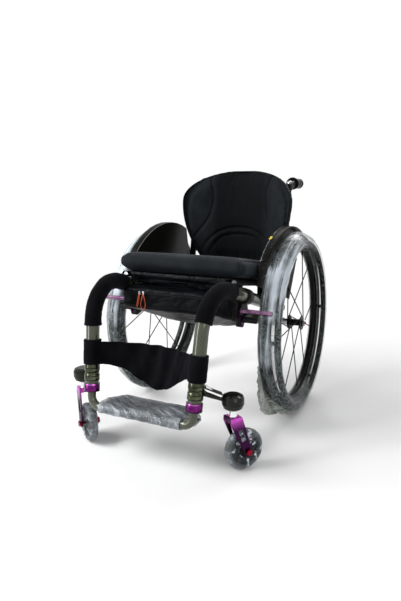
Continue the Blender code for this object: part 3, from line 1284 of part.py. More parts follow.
def make_looks():
    return {
        "carbon": material("clear-coated carbon", (0.045, 0.043, 0.030), 0.22, 0.15),
        "purple": material("purple anodised", (0.30, 0.035, 0.34), 0.25, 0.9),
        "red": material("red anodised", (0.45, 0.02, 0.03), 0.3, 0.9),
        "steel": material("polished steel", (0.62, 0.62, 0.62), 0.18, 1.0),
        "arm": material("polished arm", (0.7, 0.7, 0.7), 0.12, 1.0),
        "housing": material("black gloss housing", (0.03, 0.032, 0.025), 0.2, 0.4),
        "black": material("black coated metal", (0.012, 0.012, 0.013), 0.3, 0.3),
        "tyre": material("tyre rubber", (0.10, 0.105, 0.11), 0.6),
        "caster": material("caster tyre", (0.12, 0.12, 0.12), 0.55),
        "knit": material("black knit", (0.008, 0.008, 0.009), 0.9),
        "fabric": material("black woven cover", (0.010, 0.011, 0.013), 0.85),
        "nylon": material("black nylon", (0.010, 0.010, 0.012), 0.45),
        "plate": material("footplate", (0.16, 0.17, 0.18), 0.4, 0.2),
        "rubber": material("black grip", (0.012, 0.012, 0.012), 0.5),
    }


def main():
    clear_scene()
    look = make_looks()
    turns = {"left": CASTER_TURN_LEFT, "right": CASTER_TURN_RIGHT}
    for side, sign in SIDES:
        make_side_frame(side, sign, look)
        make_knee_sleeve(side, sign, look)
        make_footrest_clamp(side, sign, look)
        make_caster_arm(side, sign, look)
        make_caster_housing(side, sign, look)
        make_caster(side, sign, turns[side], look)
        wheel = wheel_pivot(side, sign)
        make_axle_sleeve(side, sign, wheel, look)
        make_rear_wheel(side, sign, wheel, look)
        make_rear_bracket(side, sign, look)
        make_side_guard(side, sign, look)
        make_brake(side, sign, look)
    make_calf_strap(look)
    make_footrest(look)
    make_axle(look)
    make_seat(look)
    make_cushion(look)
    make_bag(look)
    make_backrest(look)


main()
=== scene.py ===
"""Dresses the carbon active wheelchair: smooth wheels and tubes, sewn covers, transit film, finishes, studio.

The chair faces -Y and its own left is +X. Every size is in metres.
"""

import json
import math

import bpy
import numpy as np
from mathutils import Matrix, Vector, noise

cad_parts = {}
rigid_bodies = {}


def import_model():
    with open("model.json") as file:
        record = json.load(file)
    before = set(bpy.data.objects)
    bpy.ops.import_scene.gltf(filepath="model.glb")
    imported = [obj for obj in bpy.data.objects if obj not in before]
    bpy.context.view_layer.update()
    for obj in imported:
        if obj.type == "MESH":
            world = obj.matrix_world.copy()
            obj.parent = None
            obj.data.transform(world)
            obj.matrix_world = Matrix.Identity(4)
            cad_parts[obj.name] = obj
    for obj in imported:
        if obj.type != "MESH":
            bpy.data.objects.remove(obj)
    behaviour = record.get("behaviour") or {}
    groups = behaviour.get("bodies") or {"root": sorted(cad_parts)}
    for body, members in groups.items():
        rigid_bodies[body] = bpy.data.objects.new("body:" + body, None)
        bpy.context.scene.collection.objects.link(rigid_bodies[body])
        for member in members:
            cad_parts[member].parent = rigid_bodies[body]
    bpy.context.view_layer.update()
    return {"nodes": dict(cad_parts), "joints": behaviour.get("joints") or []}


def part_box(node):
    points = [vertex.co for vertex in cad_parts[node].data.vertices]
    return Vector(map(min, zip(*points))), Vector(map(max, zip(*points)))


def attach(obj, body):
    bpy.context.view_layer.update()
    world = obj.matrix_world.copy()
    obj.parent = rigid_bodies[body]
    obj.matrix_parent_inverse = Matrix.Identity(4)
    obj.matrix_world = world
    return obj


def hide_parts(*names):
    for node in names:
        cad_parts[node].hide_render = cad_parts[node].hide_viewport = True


for leftover in list(bpy.data.objects):
    bpy.data.objects.remove(leftover, do_unlink=True)


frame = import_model()

SIDES = (("left", 1), ("right", -1))


def middle(node_name):
    low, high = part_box(node_name)
    return (low + high) / 2


AXLE = middle("axle_tube")

# Where the camera stood, measured from the rear axle's line on the floor
CAMERA_AT = Vector((0.7755, -1.7275, 0.7691))
CAMERA_AZIMUTH = math.radians(26.57)
CAMERA_ELEVATION = math.radians(10.71)
CAMERA_ROLL = math.radians(-0.4)
CAMERA_LENS = 32.90
CAMERA_SHIFT_Y = -0.0293
CAMERA_SENSOR = 36.0


def at(x, y, z):
    """A point whose y is measured from the rear axle."""
    return Vector((x, y + AXLE.y, z))


# The lines that the frame's tubes and the seat follow

TUBE_R = 0.019
TUBE_WALL = 0.002
# The leg's centre line passes LEG_FOOT, goes outwards and back as it rises, and ends at LEG_END_Z
LEG_FOOT = (0.163, -0.544, 0.192)
LEG_SPREAD = 0.0445
LEG_RAKE = 0.150
LEG_END_Z = 0.184
# The side tube falls backwards, passes SIDE_AXLE_Z over the axle and ends at SIDE_REAR_Y
SIDE_SPREAD = 0.031
SIDE_AXLE_Z = 0.3475
SIDE_SLOPE = 0.32
SIDE_REAR_Y = 0.045
BEND_R = 0.110
SLEEVE_LOW_Z = {"left": 0.405, "right": 0.365}
SLEEVE_REAR_Y = -0.347
RAIL_X = 0.183
SLING_FRONT_Y = -0.334
SEAT_FRONT_Y = -0.330
SEAT_FRONT_Z = 0.4927
SEAT_REAR_Y = 0.066
SEAT_SLOPE = 0.175
# The width of one tow of the carbon cloth
TOW = 0.0028


def leg_point(sign, z):
    foot_x, foot_y, foot_z = LEG_FOOT
    rise = z - foot_z
    return at(sign * (foot_x + LEG_SPREAD * rise), foot_y + LEG_RAKE * rise, z)


def side_tube_point(sign, y):
    corner = corner_point(sign)
    x = corner.x + sign * SIDE_SPREAD * (y + AXLE.y - corner.y)
    return at(x, y, SIDE_AXLE_Z - SIDE_SLOPE * y)


def corner_point(sign):
    """Where the leg's line and the side tube's line meet."""
    _, foot_y, foot_z = LEG_FOOT
    height = SIDE_AXLE_Z - SIDE_SLOPE * (foot_y - LEG_RAKE * foot_z)
    return leg_point(sign, height / (1 + SIDE_SLOPE * LEG_RAKE))


def seat_z(y):
    """The top of the sling."""
    return SEAT_FRONT_Z - SEAT_SLOPE * (y - SEAT_FRONT_Y)


# Handling objects


def only(obj):
    """Selects one object alone."""
    bpy.ops.object.select_all(action="DESELECT")
    obj.select_set(True)
    bpy.context.view_layer.objects.active = obj


def edit(obj):
    only(obj)
    bpy.ops.object.mode_set(mode="EDIT")
    bpy.ops.mesh.select_all(action="SELECT")


def done():
    bpy.ops.object.mode_set(mode="OBJECT")


def settle(obj, matrix):
    """Moves a finished piece by matrix and leaves its object at the origin, unturned."""
    only(obj)
    obj.matrix_world = matrix @ obj.matrix_world
    bpy.ops.object.transform_apply(location=True, rotation=True, scale=True)


def apply_all(obj):
    only(obj)
    for step in list(obj.modifiers):
        bpy.ops.object.modifier_apply(modifier=step.name)


def smooth(obj, angle=40.0):
    only(obj)
    bpy.ops.object.shade_smooth_by_angle(angle=math.radians(angle))


def joined(name, pieces):
    bpy.ops.object.select_all(action="DESELECT")
    for piece in pieces:
        piece.select_set(True)
    bpy.context.view_layer.objects.active = pieces[0]
    bpy.ops.object.join()
    pieces[0].name = name
    return pieces[0]


def copies(obj, matrices):
    """The piece itself moved by the first matrix, and one copy with its own mesh for each other matrix."""
    made = []
    for matrix in matrices[1:]:
        twin = bpy.data.objects.new(obj.name, obj.data.copy())
        bpy.context.scene.collection.objects.link(twin)
        settle(twin, matrix)
        made.append(twin)
    settle(obj, matrices[0])
    return [obj] + made


def dress(obj, body, material, nodes=()):
    """Gives a piece its finish, its body and the CAD nodes that it stands for."""
    obj.data.materials.clear()
    obj.data.materials.append(material)
    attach(obj, body)
    if nodes:
        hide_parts(*nodes)
    return obj


# Modelling by hand


SAME_POINT = 1e-6
CAD_SAME_POINT = 4e-6


def block(name, size, centre=(0, 0, 0)):
    """A block of that size, to be shaped further."""
    bpy.ops.object.select_all(action="DESELECT")
    bpy.ops.mesh.primitive_cube_add(size=1, location=centre)
    obj = bpy.context.object
    obj.name = name
    obj.scale = size
    bpy.ops.object.transform_apply(location=True, rotation=True, scale=True)
    return obj


def rounded(obj, edge):
    """Rounds every edge of a block."""
    edit(obj)
    bpy.ops.mesh.bevel(offset=edge, segments=2)
    done()
    smooth(obj)
    return obj


def closed(obj, gap=SAME_POINT):
    """Merges the points that lie on each other and turns the faces outwards."""
    edit(obj)
    bpy.ops.mesh.remove_doubles(threshold=gap)
    done()
    outwards(obj)


def inset_faces(obj, chosen, width, depth):
    """Insets the faces with the chosen indexes, moves them by depth, and gives their new indexes."""
    edit(obj)
    bpy.ops.mesh.select_all(action="DESELECT")
    done()
    for face in obj.data.polygons:
        face.select = face.index in chosen
    only(obj)
    bpy.ops.object.mode_set(mode="EDIT")
    bpy.ops.mesh.inset(thickness=width, depth=depth, use_individual=True)
    done()
    return {face.index for face in obj.data.polygons if face.select}


def finer(obj):
    """Divides each face in four, and rounds the shape."""
    step = obj.modifiers.new("Finer", "SUBSURF")
    step.levels = 1
    step.render_levels = 1
    apply_all(obj)


def shifted(obj, change):
    """Moves each vertex by the vector change(vertex)."""
    moves = [change(vert) for vert in obj.data.vertices]
    for vert, move in zip(obj.data.vertices, moves):
        vert.co += move
    obj.data.update()


def vertex_array(obj, what="co"):
    """The places or the normals of the vertices, one row for each."""
    values = np.empty(len(obj.data.vertices) * 3)
    obj.data.vertices.foreach_get(what, values)
    return values.reshape(-1, 3)


def place_vertices(obj, places):
    obj.data.vertices.foreach_set("co", places.reshape(-1))
    obj.data.update()


def ridge(distance, height, width):
    """The height of a rounded ridge at a distance from its middle line."""
    return height * math.exp(-((distance / width) ** 2))


def drawn_line(name, points):
    """A chain of edges, drawn by extruding one vertex from each point to the next."""
    bpy.ops.object.select_all(action="DESELECT")
    bpy.ops.mesh.primitive_plane_add(size=0.001, location=points[0])
    obj = bpy.context.object
    obj.name = name
    bpy.ops.object.transform_apply(location=True, rotation=True, scale=True)
    edit(obj)
    bpy.ops.mesh.merge(type="CENTER")
    for before, after in zip(points, points[1:]):
        bpy.ops.mesh.extrude_region_move(TRANSFORM_OT_translate={"value": after - before})
    done()
    return obj


def turned(name, profile, place, steps, loop=True):
    """Draws the (radius, height) profile and spins it round its Z axis, then sets it in place."""
    points = [Vector((radius, 0, height)) for radius, height in profile]
    obj = drawn_line(name, points + points[:1] if loop else points)
    edit(obj)
    bpy.ops.mesh.spin(steps=steps, angle=2 * math.pi, center=(0, 0, 0), axis=(0, 0, 1))
    done()
    closed(obj, 1e-5)
    settle(obj, place)
    smooth(obj)
    return obj


def length_along(points):
    return sum((after - before).length for before, after in zip(points, points[1:]))


def evenly(points, step):
    """The same line with its points a step apart, as near as fits."""
    lengths = [0.0]
    for before, after in zip(points, points[1:]):
        lengths.append(lengths[-1] + (after - before).length)
    count = max(2, round(lengths[-1] / step))
    line = []
    for index in range(count + 1):
        target = lengths[-1] * index / count
        place = max(1, next((i for i, reach in enumerate(lengths) if reach >= target), len(lengths) - 1))
        span = lengths[place] - lengths[place - 1]
        line.append(points[place - 1].lerp(points[place], (target - lengths[place - 1]) / span))
    return line


def main_path(sign, low_z, rear_y):
    """The centre line of a leg, its bend and its side tube, from height low_z on."""
    path = fillet([leg_point(sign, LEG_END_Z), corner_point(sign), side_tube_point(sign, rear_y)], BEND_R, 16)
    while path[1].z <= low_z:
        path.pop(0)
    share = (low_z - path[0].z) / (path[1].z - path[0].z)
    path[0] = path[0].lerp(path[1], max(0.0, share))
    return path


def wrapped_tube(name, path, radius, wall=None, sides=6, step=0.006):
    """A tube whose Cloth map runs in metres along it and round it, with whole repeats of the weave round."""
    line = evenly(path, step)
    length = length_along(line)
    obj = piped(name, line, radius, sides, caps=wall is None)
    repeat = 4 * TOW
    girth = repeat * max(1, round(2 * math.pi * radius / repeat))
    layer = obj.data.uv_layers[0]
    layer.name = "Cloth"
    for spot in layer.data:
        spot.uv = (spot.uv.x * length, spot.uv.y * girth)
    if wall:
        thicken(obj, wall, -1.0)
    smooth(obj, 50)
    return obj


def piped(name, points, radius, sides=4, caps=True):
    """A round bar along a line: the line is drawn, made a curve, thickened and made a mesh again."""
    obj = drawn_line(name, points)
    only(obj)
    bpy.ops.object.convert(target="CURVE")
    obj.data.bevel_depth = radius
    obj.data.bevel_resolution = sides
    obj.data.use_fill_caps = caps
    obj.data.twist_mode = "MINIMUM"
    bpy.ops.object.convert(target="MESH")
    closed(obj)
    return obj


def fillet(points, radius, steps):
    """The straight runs through points, with each inner corner made an arc."""
    path = [points[0]]
    for before, corner, after in zip(points, points[1:], points[2:]):
        back = (before - corner).normalized()
        ahead = (after - corner).normalized()
        half = back.angle(ahead) / 2
        reach = radius / math.tan(half)
        centre = corner + (back + ahead).normalized() * (radius / math.sin(half))
        first = corner + back * reach - centre
        last = corner + ahead * reach - centre
        turn = first.angle(last)
        axis = first.cross(last).normalized()
        for step in range(steps + 1):
            path.append(centre + Matrix.Rotation(turn * step / steps, 3, axis) @ first)
    path.append(points[-1])
    return path


def copy_of(node_name, name):
    """A copy of a CAD node's mesh with its loose triangles merged, to be shaped further."""
    obj = bpy.data.objects.new(name, frame["nodes"][node_name].data.copy())
    bpy.context.scene.collection.objects.link(obj)
    edit(obj)
    bpy.ops.mesh.customdata_custom_splitnormals_clear()
    bpy.ops.mesh.remove_doubles(threshold=CAD_SAME_POINT)
    done()
    return obj


def eased(node_name, edge):
    """A copy of a CAD node with its triangles made faces and its edges rounded."""
    obj = copy_of(node_name, f"{node_name}_eased")
    edit(obj)
    bpy.ops.mesh.dissolve_limited(angle_limit=math.radians(0.6))
    done()
    step = obj.modifiers.new("Edge", "BEVEL")
    step.width = edge
    step.segments = 2
    step.limit_method = "ANGLE"
    step.angle_limit = math.radians(32.0)
    step.harden_normals = False
    apply_all(obj)
    smooth(obj, 38)
    return obj


def mesh_of(name, points, faces, uvs=None):
    """A mesh object from points and faces, with a UV map where the pattern follows the surface."""
    mesh = bpy.data.meshes.new(name)
    mesh.from_pydata([tuple(p) for p in points], [], faces)
    if uvs is not None:
        layer = mesh.uv_layers.new(name="Cloth")
        for loop in mesh.loops:
            layer.data[loop.index].uv = uvs[loop.vertex_index]
    mesh.shade_smooth()
    obj = bpy.data.objects.new(name, mesh)
    bpy.context.scene.collection.objects.link(obj)
    return obj


def grid_faces(columns, rows, loop_rows=False):
    """Faces of a grid whose points run column by column."""
    faces = []
    for column in range(columns - 1):
        start, after = column * rows, (column + 1) * rows
        for row in range(rows if loop_rows else rows - 1):
            up = (row + 1) % rows
            faces.append((start + row, after + row, after + up, start + up))
    return faces


def outwards(obj):
    edit(obj)
    bpy.ops.mesh.normals_make_consistent(inside=False)
    done()


def thicken(obj, wall, offset=0.0):
    step = obj.modifiers.new("Wall", "SOLIDIFY")
    step.thickness = wall
    step.offset = offset
    step.use_even_offset = False
    apply_all(obj)


# Materials


def node(tree, kind, values=None, **settings):
    """A node with its settings, and with values or sockets on its inputs."""
    made = tree.nodes.new(kind)
    for key, value in settings.items():
        setattr(made, key, value)
    for key, value in (values or {}).items():
        if isinstance(value, bpy.types.NodeSocket):
            tree.links.new(value, made.inputs[key])
        else:
            made.inputs[key].default_value = value
    return made


def principled(name, colour, roughness, metallic=0.0, **values):
    """A material's tree and shader. Further values name the shader's sockets with _ for a space."""
    material = bpy.data.materials.new(name)
    material.use_nodes = True
    tree = material.node_tree
    shader = tree.nodes["Principled BSDF"]
    shader.inputs["Base Color"].default_value = (*colour, 1.0)
    shader.inputs["Roughness"].default_value = roughness
    shader.inputs["Metallic"].default_value = metallic
    for key, value in values.items():
        shader.inputs[key.replace("_", " ")].default_value = value
    return material, tree, shader


def object_point(tree, centre=None, turn=(0, 0, 0), scale=(1, 1, 1)):
    """Object coordinates, first moved so that centre is the origin, then turned and scaled."""
    point = node(tree, "ShaderNodeTexCoord").outputs["Object"]
    if centre is not None:
        inputs = {0: point, 1: tuple(centre)}
        point = node(tree, "ShaderNodeVectorMath", inputs, operation="SUBTRACT").outputs[0]
    mapped = node(tree, "ShaderNodeMapping", {"Vector": point, "Rotation": turn, "Scale": scale})
    return mapped.outputs[0]


def cloth_point(tree, scale=(1, 1, 1)):
    point = node(tree, "ShaderNodeUVMap", uv_map="Cloth").outputs[0]
    return node(tree, "ShaderNodeMapping", {"Vector": point, "Scale": scale}).outputs[0]


def speckle(tree, point, scale, detail=3.0, roughness=0.55, distortion=0.0):
    values = {"Vector": point, "Scale": scale, "Detail": detail}
    values.update({"Roughness": roughness, "Distortion": distortion})
    return node(tree, "ShaderNodeTexNoise", values).outputs[0]


def maths(tree, operation, first, second=0.0, third=0.0):
    return node(tree, "ShaderNodeMath", {0: first, 1: second, 2: third}, operation=operation).outputs[0]


def length_of(tree, vector):
    return node(tree, "ShaderNodeVectorMath", {0: vector}, operation="LENGTH").outputs["Value"]


def spread(tree, value, low, high, to_low=0.0, to_high=1.0):
    """value from low..high mapped to to_low..to_high, and held there."""
    values = {"Value": value, "From Min": low, "From Max": high, "To Min": to_low, "To Max": to_high}
    return node(tree, "ShaderNodeMapRange", values).outputs[0]


def blend_colour(tree, share, first, second):
    mixed = node(tree, "ShaderNodeMix", data_type="RGBA")
    for index, value in ((0, share), (6, first), (7, second)):
        if isinstance(value, bpy.types.NodeSocket):
            tree.links.new(value, mixed.inputs[index])
        else:
            mixed.inputs[index].default_value = value if index == 0 else (*value, 1.0)
    return mixed.outputs[2]


def raised(tree, shader, height, distance, strength=1.0):
    """Bump from a height, chained on what the shader has already."""
    values = {"Height": height, "Distance": distance, "Strength": strength}
    made = node(tree, "ShaderNodeBump", values)
    normal = shader.inputs["Normal"]
    if normal.is_linked:
        tree.links.new(normal.links[0].from_socket, made.inputs["Normal"])
    tree.links.new(made.outputs[0], normal)


def axes(tree, point):
    parts = node(tree, "ShaderNodeSeparateXYZ", {0: point})
    return parts.outputs[0], parts.outputs[1], parts.outputs[2]


def sine(tree, value, length):
    """A wave of that length, from -1 to 1."""
    return maths(tree, "SINE", maths(tree, "MULTIPLY", value, 2 * math.pi / length))


def worn(tree, shader, point, colour, change, scale=35.0, roughness=(0.25, 0.4)):
    """Uneven colour and shine, as on a handled surface."""
    cloud = speckle(tree, point, scale, 4.0, 0.6)
    tone = blend_colour(tree, spread(tree, cloud, 0.35, 0.65), colour, change)
    tree.links.new(tone, shader.inputs["Base Color"])
    shine = spread(tree, speckle(tree, point, scale * 2.3, 3.0), 0.3, 0.7, *roughness)
    tree.links.new(shine, shader.inputs["Roughness"])


def carbon(name, point_of, dark, light, coat, shine=0.5):
    """2 x 2 twill under a clear coat. point_of(tree) gives the two directions of the cloth in metres."""
    values = {"Coat_Weight": coat, "Coat_Roughness": 0.05, "Specular_IOR_Level": shine}
    material, tree, shader = principled(name, dark, 0.4, **values)
    first, second, _ = axes(tree, point_of(tree))
    across = maths(tree, "DIVIDE", first, TOW)
    down = maths(tree, "DIVIDE", second, TOW)
    cell = maths(tree, "ADD", maths(tree, "FLOOR", across), maths(tree, "FLOOR", down))
    warp = maths(tree, "LESS_THAN", maths(tree, "FLOORED_MODULO", cell, 4.0), 2.0)
    along_warp = maths(tree, "SUBTRACT", maths(tree, "FRACT", across), 0.5)
    along_weft = maths(tree, "SUBTRACT", maths(tree, "FRACT", down), 0.5)
    crown_warp = maths(tree, "SUBTRACT", 0.25, maths(tree, "MULTIPLY", along_warp, along_warp))
    crown_weft = maths(tree, "SUBTRACT", 0.25, maths(tree, "MULTIPLY", along_weft, along_weft))
    crown = node(tree, "ShaderNodeMix", {0: warp, 2: crown_weft, 3: crown_warp}).outputs[0]
    threads = speckle(tree, point_of(tree), 900.0, 2.0)
    # Each tow is lighter towards its crown and on the warp: painted shading and sheen of the weave.
    lit = maths(tree, "MULTIPLY", crown, spread(tree, threads, 0.2, 0.8, 2.4, 4.0))
    lit = maths(tree, "MULTIPLY", lit, spread(tree, warp, 0.0, 1.0, 0.45, 1.0))
    tree.links.new(blend_colour(tree, lit, dark, light), shader.inputs["Base Color"])
    raised(tree, shader, crown, 0.0001, 0.4)
    return material


def reopened(material):
    """A finished material's tree and shader, and the colour that something is laid over."""
    tree = material.node_tree
    shader = tree.nodes["Principled BSDF"]
    return tree, shader, shader.inputs["Base Color"].links[0].from_socket


def scuffed(material):
    """Fine pale scratches over a finish, running every way."""
    tree, shader, colour = reopened(material)
    marks = 0.0
    for turn, stretch in ((0.3, (9, 260, 260)), (1.2, (260, 12, 260)), (-0.5, (240, 240, 10))):
        drawn = speckle(tree, object_point(tree, turn=(turn, turn / 2, 0), scale=stretch), 1.0, 2.0)
        marks = maths(tree, "MAXIMUM", marks, spread(tree, drawn, 0.70, 0.73))
    worn_here = spread(tree, speckle(tree, object_point(tree), 14.0), 0.40, 0.55)
    marks = maths(tree, "MULTIPLY", marks, worn_here)
    tree.links.new(blend_colour(tree, marks, colour, (0.42, 0.42, 0.43)), shader.inputs["Base Color"])
    return material


def edged(material, tone, broken):
    """A painted highlight: a pale line along a guard's upper inner edge.

    broken gives the strength of the specks at which the line stops and at which it is full.
    """
    tree, shader, colour = reopened(material)
    across, depth, height = axes(tree, object_point(tree, AXLE))
    # The line lies at this radius from the axle, above this height and on the guard's inner side
    squares = [maths(tree, "POWER", part, 2.0) for part in (depth, height)]
    radius = maths(tree, "SQRT", maths(tree, "ADD", *squares))
    line = maths(tree, "MULTIPLY", spread(tree, radius, 0.3160, 0.3168), spread(tree, height, 0.205, 0.235))
    inside = spread(tree, maths(tree, "ABSOLUTE", across), 0.2170, 0.2178, 1.0, 0.0)
    gaps = spread(tree, speckle(tree, object_point(tree), 60.0, 4.0, 0.6), *broken)
    share = maths(tree, "MULTIPLY", maths(tree, "MULTIPLY", line, inside), gaps)
    tree.links.new(blend_colour(tree, share, colour, tone), shader.inputs["Base Color"])
    return material


def knit(name):
    """Ribbed stretch knit."""
    sheen = {"Sheen_Weight": 0.06, "Sheen_Roughness": 0.4, "Sheen_Tint": (0.5, 0.52, 0.6, 1.0)}
    dark, light = (0.0018, 0.0018, 0.0026), (0.0046, 0.0046, 0.0060)
    material, tree, shader = principled(name, dark, 0.92, Specular_IOR_Level=0.04, **sheen)
    point = object_point(tree)
    first, second, third = axes(tree, point)
    ribs = sine(tree, maths(tree, "ADD", first, second), 0.0016)
    loops = sine(tree, third, 0.0011)
    fuzz = speckle(tree, point, 420.0, 3.0)
    rough = maths(tree, "ADD", maths(tree, "MULTIPLY", ribs, 0.5), maths(tree, "MULTIPLY", loops, 0.3))
    height = maths(tree, "ADD", rough, maths(tree, "MULTIPLY", fuzz, 0.8))
    raised(tree, shader, height, 0.0002, 0.7)
    cloud = speckle(tree, point, 26.0, 4.0)
    tone = blend_colour(tree, spread(tree, cloud, 0.3, 0.7), dark, light)
    tree.links.new(tone, shader.inputs["Base Color"])
    return material


def cover(name, dark=(0.0065, 0.0085, 0.0105), light=(0.0130, 0.0160, 0.0190), dim=1.0):
    """Close woven polyester with a faint bloom. dim darkens the back's middle, between its wings."""
    sheen = {"Sheen_Weight": 0.12, "Sheen_Roughness": 0.35, "Sheen_Tint": (0.45, 0.5, 0.58, 1.0)}
    material, tree, shader = principled(name, dark, 0.62, Specular_IOR_Level=0.06, **sheen)
    point = object_point(tree)
    first, second, third = axes(tree, point)
    down = maths(tree, "ADD", second, third)
    weave = maths(tree, "MULTIPLY", sine(tree, first, 0.0018), sine(tree, down, 0.0018))
    slub = speckle(tree, object_point(tree, scale=(60, 700, 700)), 1.0, 2.0)
    height = maths(tree, "ADD", weave, slub)
    raised(tree, shader, height, 0.00025, 0.6)
    cloud = speckle(tree, point, 14.0, 4.0, 0.6)
    tone = blend_colour(tree, spread(tree, cloud, 0.3, 0.7), dark, light)
    if dim < 1.0:
        inside = spread(tree, maths(tree, "ABSOLUTE", first), 0.085, 0.130, dim, 1.0)
        tone = node(tree, "ShaderNodeVectorMath", {0: tone, 3: inside}, operation="SCALE").outputs[0]
    tree.links.new(tone, shader.inputs["Base Color"])
    tree.links.new(spread(tree, slub, 0.2, 0.8, 0.54, 0.72), shader.inputs["Roughness"])
    return material


def nylon(name):
    """Coated nylon: black, crumpled, and shiny along its creases."""
    dark, light = (0.0012, 0.0015, 0.0020), (0.0040, 0.0046, 0.0060)
    material, tree, shader = principled(name, dark, 0.3, Specular_IOR_Level=0.05)
    point = object_point(tree)
    first, second, third = axes(tree, point)
    down = maths(tree, "ADD", second, third)
    weave = maths(tree, "MULTIPLY", sine(tree, first, 0.0012), sine(tree, down, 0.0012))
    raised(tree, shader, weave, 0.0001, 0.3)
    crease = speckle(tree, object_point(tree, scale=(16, 24, 24)), 1.0, 2.0, 0.45, 0.9)
    fold = maths(tree, "ABSOLUTE", maths(tree, "SUBTRACT", crease, 0.5))
    raised(tree, shader, spread(tree, fold, 0.0, 0.14), 0.002, 0.5)
    tone = blend_colour(tree, spread(tree, crease, 0.35, 0.65), dark, light)
    tree.links.new(tone, shader.inputs["Base Color"])
    tree.links.new(spread(tree, crease, 0.3, 0.7, 0.26, 0.46), shader.inputs["Roughness"])
    return material


def turning_lines(tree, shader):
    """The fine lines that a turning tool leaves round a piece."""
    grain = speckle(tree, object_point(tree, scale=(90, 90, 1400)), 1.0, 2.0)
    raised(tree, shader, grain, 0.00005, 0.35)


def anodised(name, colour, pale, roughness=(0.18, 0.34)):
    """Dyed aluminium: a metal with fine turning lines and paler handled patches."""
    material, tree, shader = principled(name, colour, roughness[0], 1.0)
    worn(tree, shader, object_point(tree), colour, pale, 60.0, roughness)
    turning_lines(tree, shader)
    return material


def fork_metal(name):
    """Anodised fork: dark blades with painted shade, and a painted highlight on the crown."""
    dark, bright = (0.035, 0.008, 0.038), (0.58, 0.10, 0.54)
    material, tree, shader = principled(name, dark, 0.2, 1.0)
    point = object_point(tree)
    cloud = spread(tree, speckle(tree, point, 60.0, 4.0, 0.6), 0.3, 0.7, -0.12, 0.12)
    height = maths(tree, "ADD", axes(tree, point)[2], maths(tree, "MULTIPLY", cloud, 0.05))
    # The crown's painted highlight, growing with the height.
    share = maths(tree, "POWER", spread(tree, height, 0.122, 0.154), 1.5)
    tree.links.new(blend_colour(tree, share, dark, bright), shader.inputs["Base Color"])
    tree.links.new(spread(tree, cloud, -0.12, 0.12, 0.14, 0.3), shader.inputs["Roughness"])
    turning_lines(tree, shader)
    return material


def clamp_metal(name):
    """Anodised ring, purple above and nearly black at its lower edge, with a painted highlight along its top
    edge.
    """
    dark, purple = (0.060, 0.004, 0.055), (0.17, 0.02, 0.16)
    material, tree, shader = principled(name, dark, 0.2, 1.0)
    point = object_point(tree)
    low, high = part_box("footrest_clamp_left")
    height = spread(tree, axes(tree, point)[2], low.z, high.z)
    cloud = speckle(tree, point, 60.0, 4.0, 0.6)
    dyed = blend_colour(tree, spread(tree, cloud, 0.35, 0.65), dark, purple)
    # A painted highlight along the ring's top edge.
    painted_crest_highlight = blend_colour(tree, spread(tree, height, 0.80, 0.95), dyed, (0.40, 0.12, 0.38))
    tone = blend_colour(tree, spread(tree, height, 0.24, 0.34), (0.010, 0.009, 0.008), painted_crest_highlight)
    tree.links.new(tone, shader.inputs["Base Color"])
    tree.links.new(spread(tree, cloud, 0.3, 0.7, 0.14, 0.3), shader.inputs["Roughness"])
    turning_lines(tree, shader)
    return material


def banded(material, pitch):
    """Turned grooves in a collar, a little deeper and darkened with painted shade, a pitch apart up its
    height.
    """
    tree, shader, colour = reopened(material)
    wave = sine(tree, axes(tree, object_point(tree))[2], pitch)
    groove = spread(tree, wave, 0.72, 0.95)
    # The grooves' dark colour is painted shade.
    tree.links.new(blend_colour(tree, groove, colour, (0.004, 0.005, 0.003)), shader.inputs["Base Color"])
    raised(tree, shader, maths(tree, "SUBTRACT", 1.0, groove), 0.0008, 0.9)
    return material


def bright_metal(name, colour, pale, roughness):
    """Bare metal with fine scratches and paler handled patches."""
    material, tree, shader = principled(name, colour, roughness[0], 1.0)
    worn(tree, shader, object_point(tree), colour, pale, 45.0, roughness)
    scratches = speckle(tree, object_point(tree, scale=(1800, 60, 60)), 1.0, 2.0)
    raised(tree, shader, scratches, 0.00003, 0.25)
    return material


def grey(value):
    return (value, value, value)


def gloss_black(name, colour=grey(0.003), pale=grey(0.008), roughness=(0.12, 0.26), shine=0.25):
    """Black lacquer or powder coat with a little orange peel and dust."""
    material, tree, shader = principled(name, colour, roughness[0], Specular_IOR_Level=shine)
    point = object_point(tree)
    worn(tree, shader, point, colour, pale, 70.0, roughness)
    peel = speckle(tree, point, 520.0, 2.0)
    raised(tree, shader, peel, 0.00006, 0.3)
    return material


def rubber(name, colour, pale, roughness=(0.5, 0.7), shine=0.2):
    material, tree, shader = principled(name, colour, roughness[0], Specular_IOR_Level=shine)
    point = object_point(tree)
    worn(tree, shader, point, colour, pale, 55.0, roughness)
    raised(tree, shader, speckle(tree, point, 900.0, 3.0), 0.00012, 0.5)
    return material


DULL = (0.026, 0.042, 0.030)


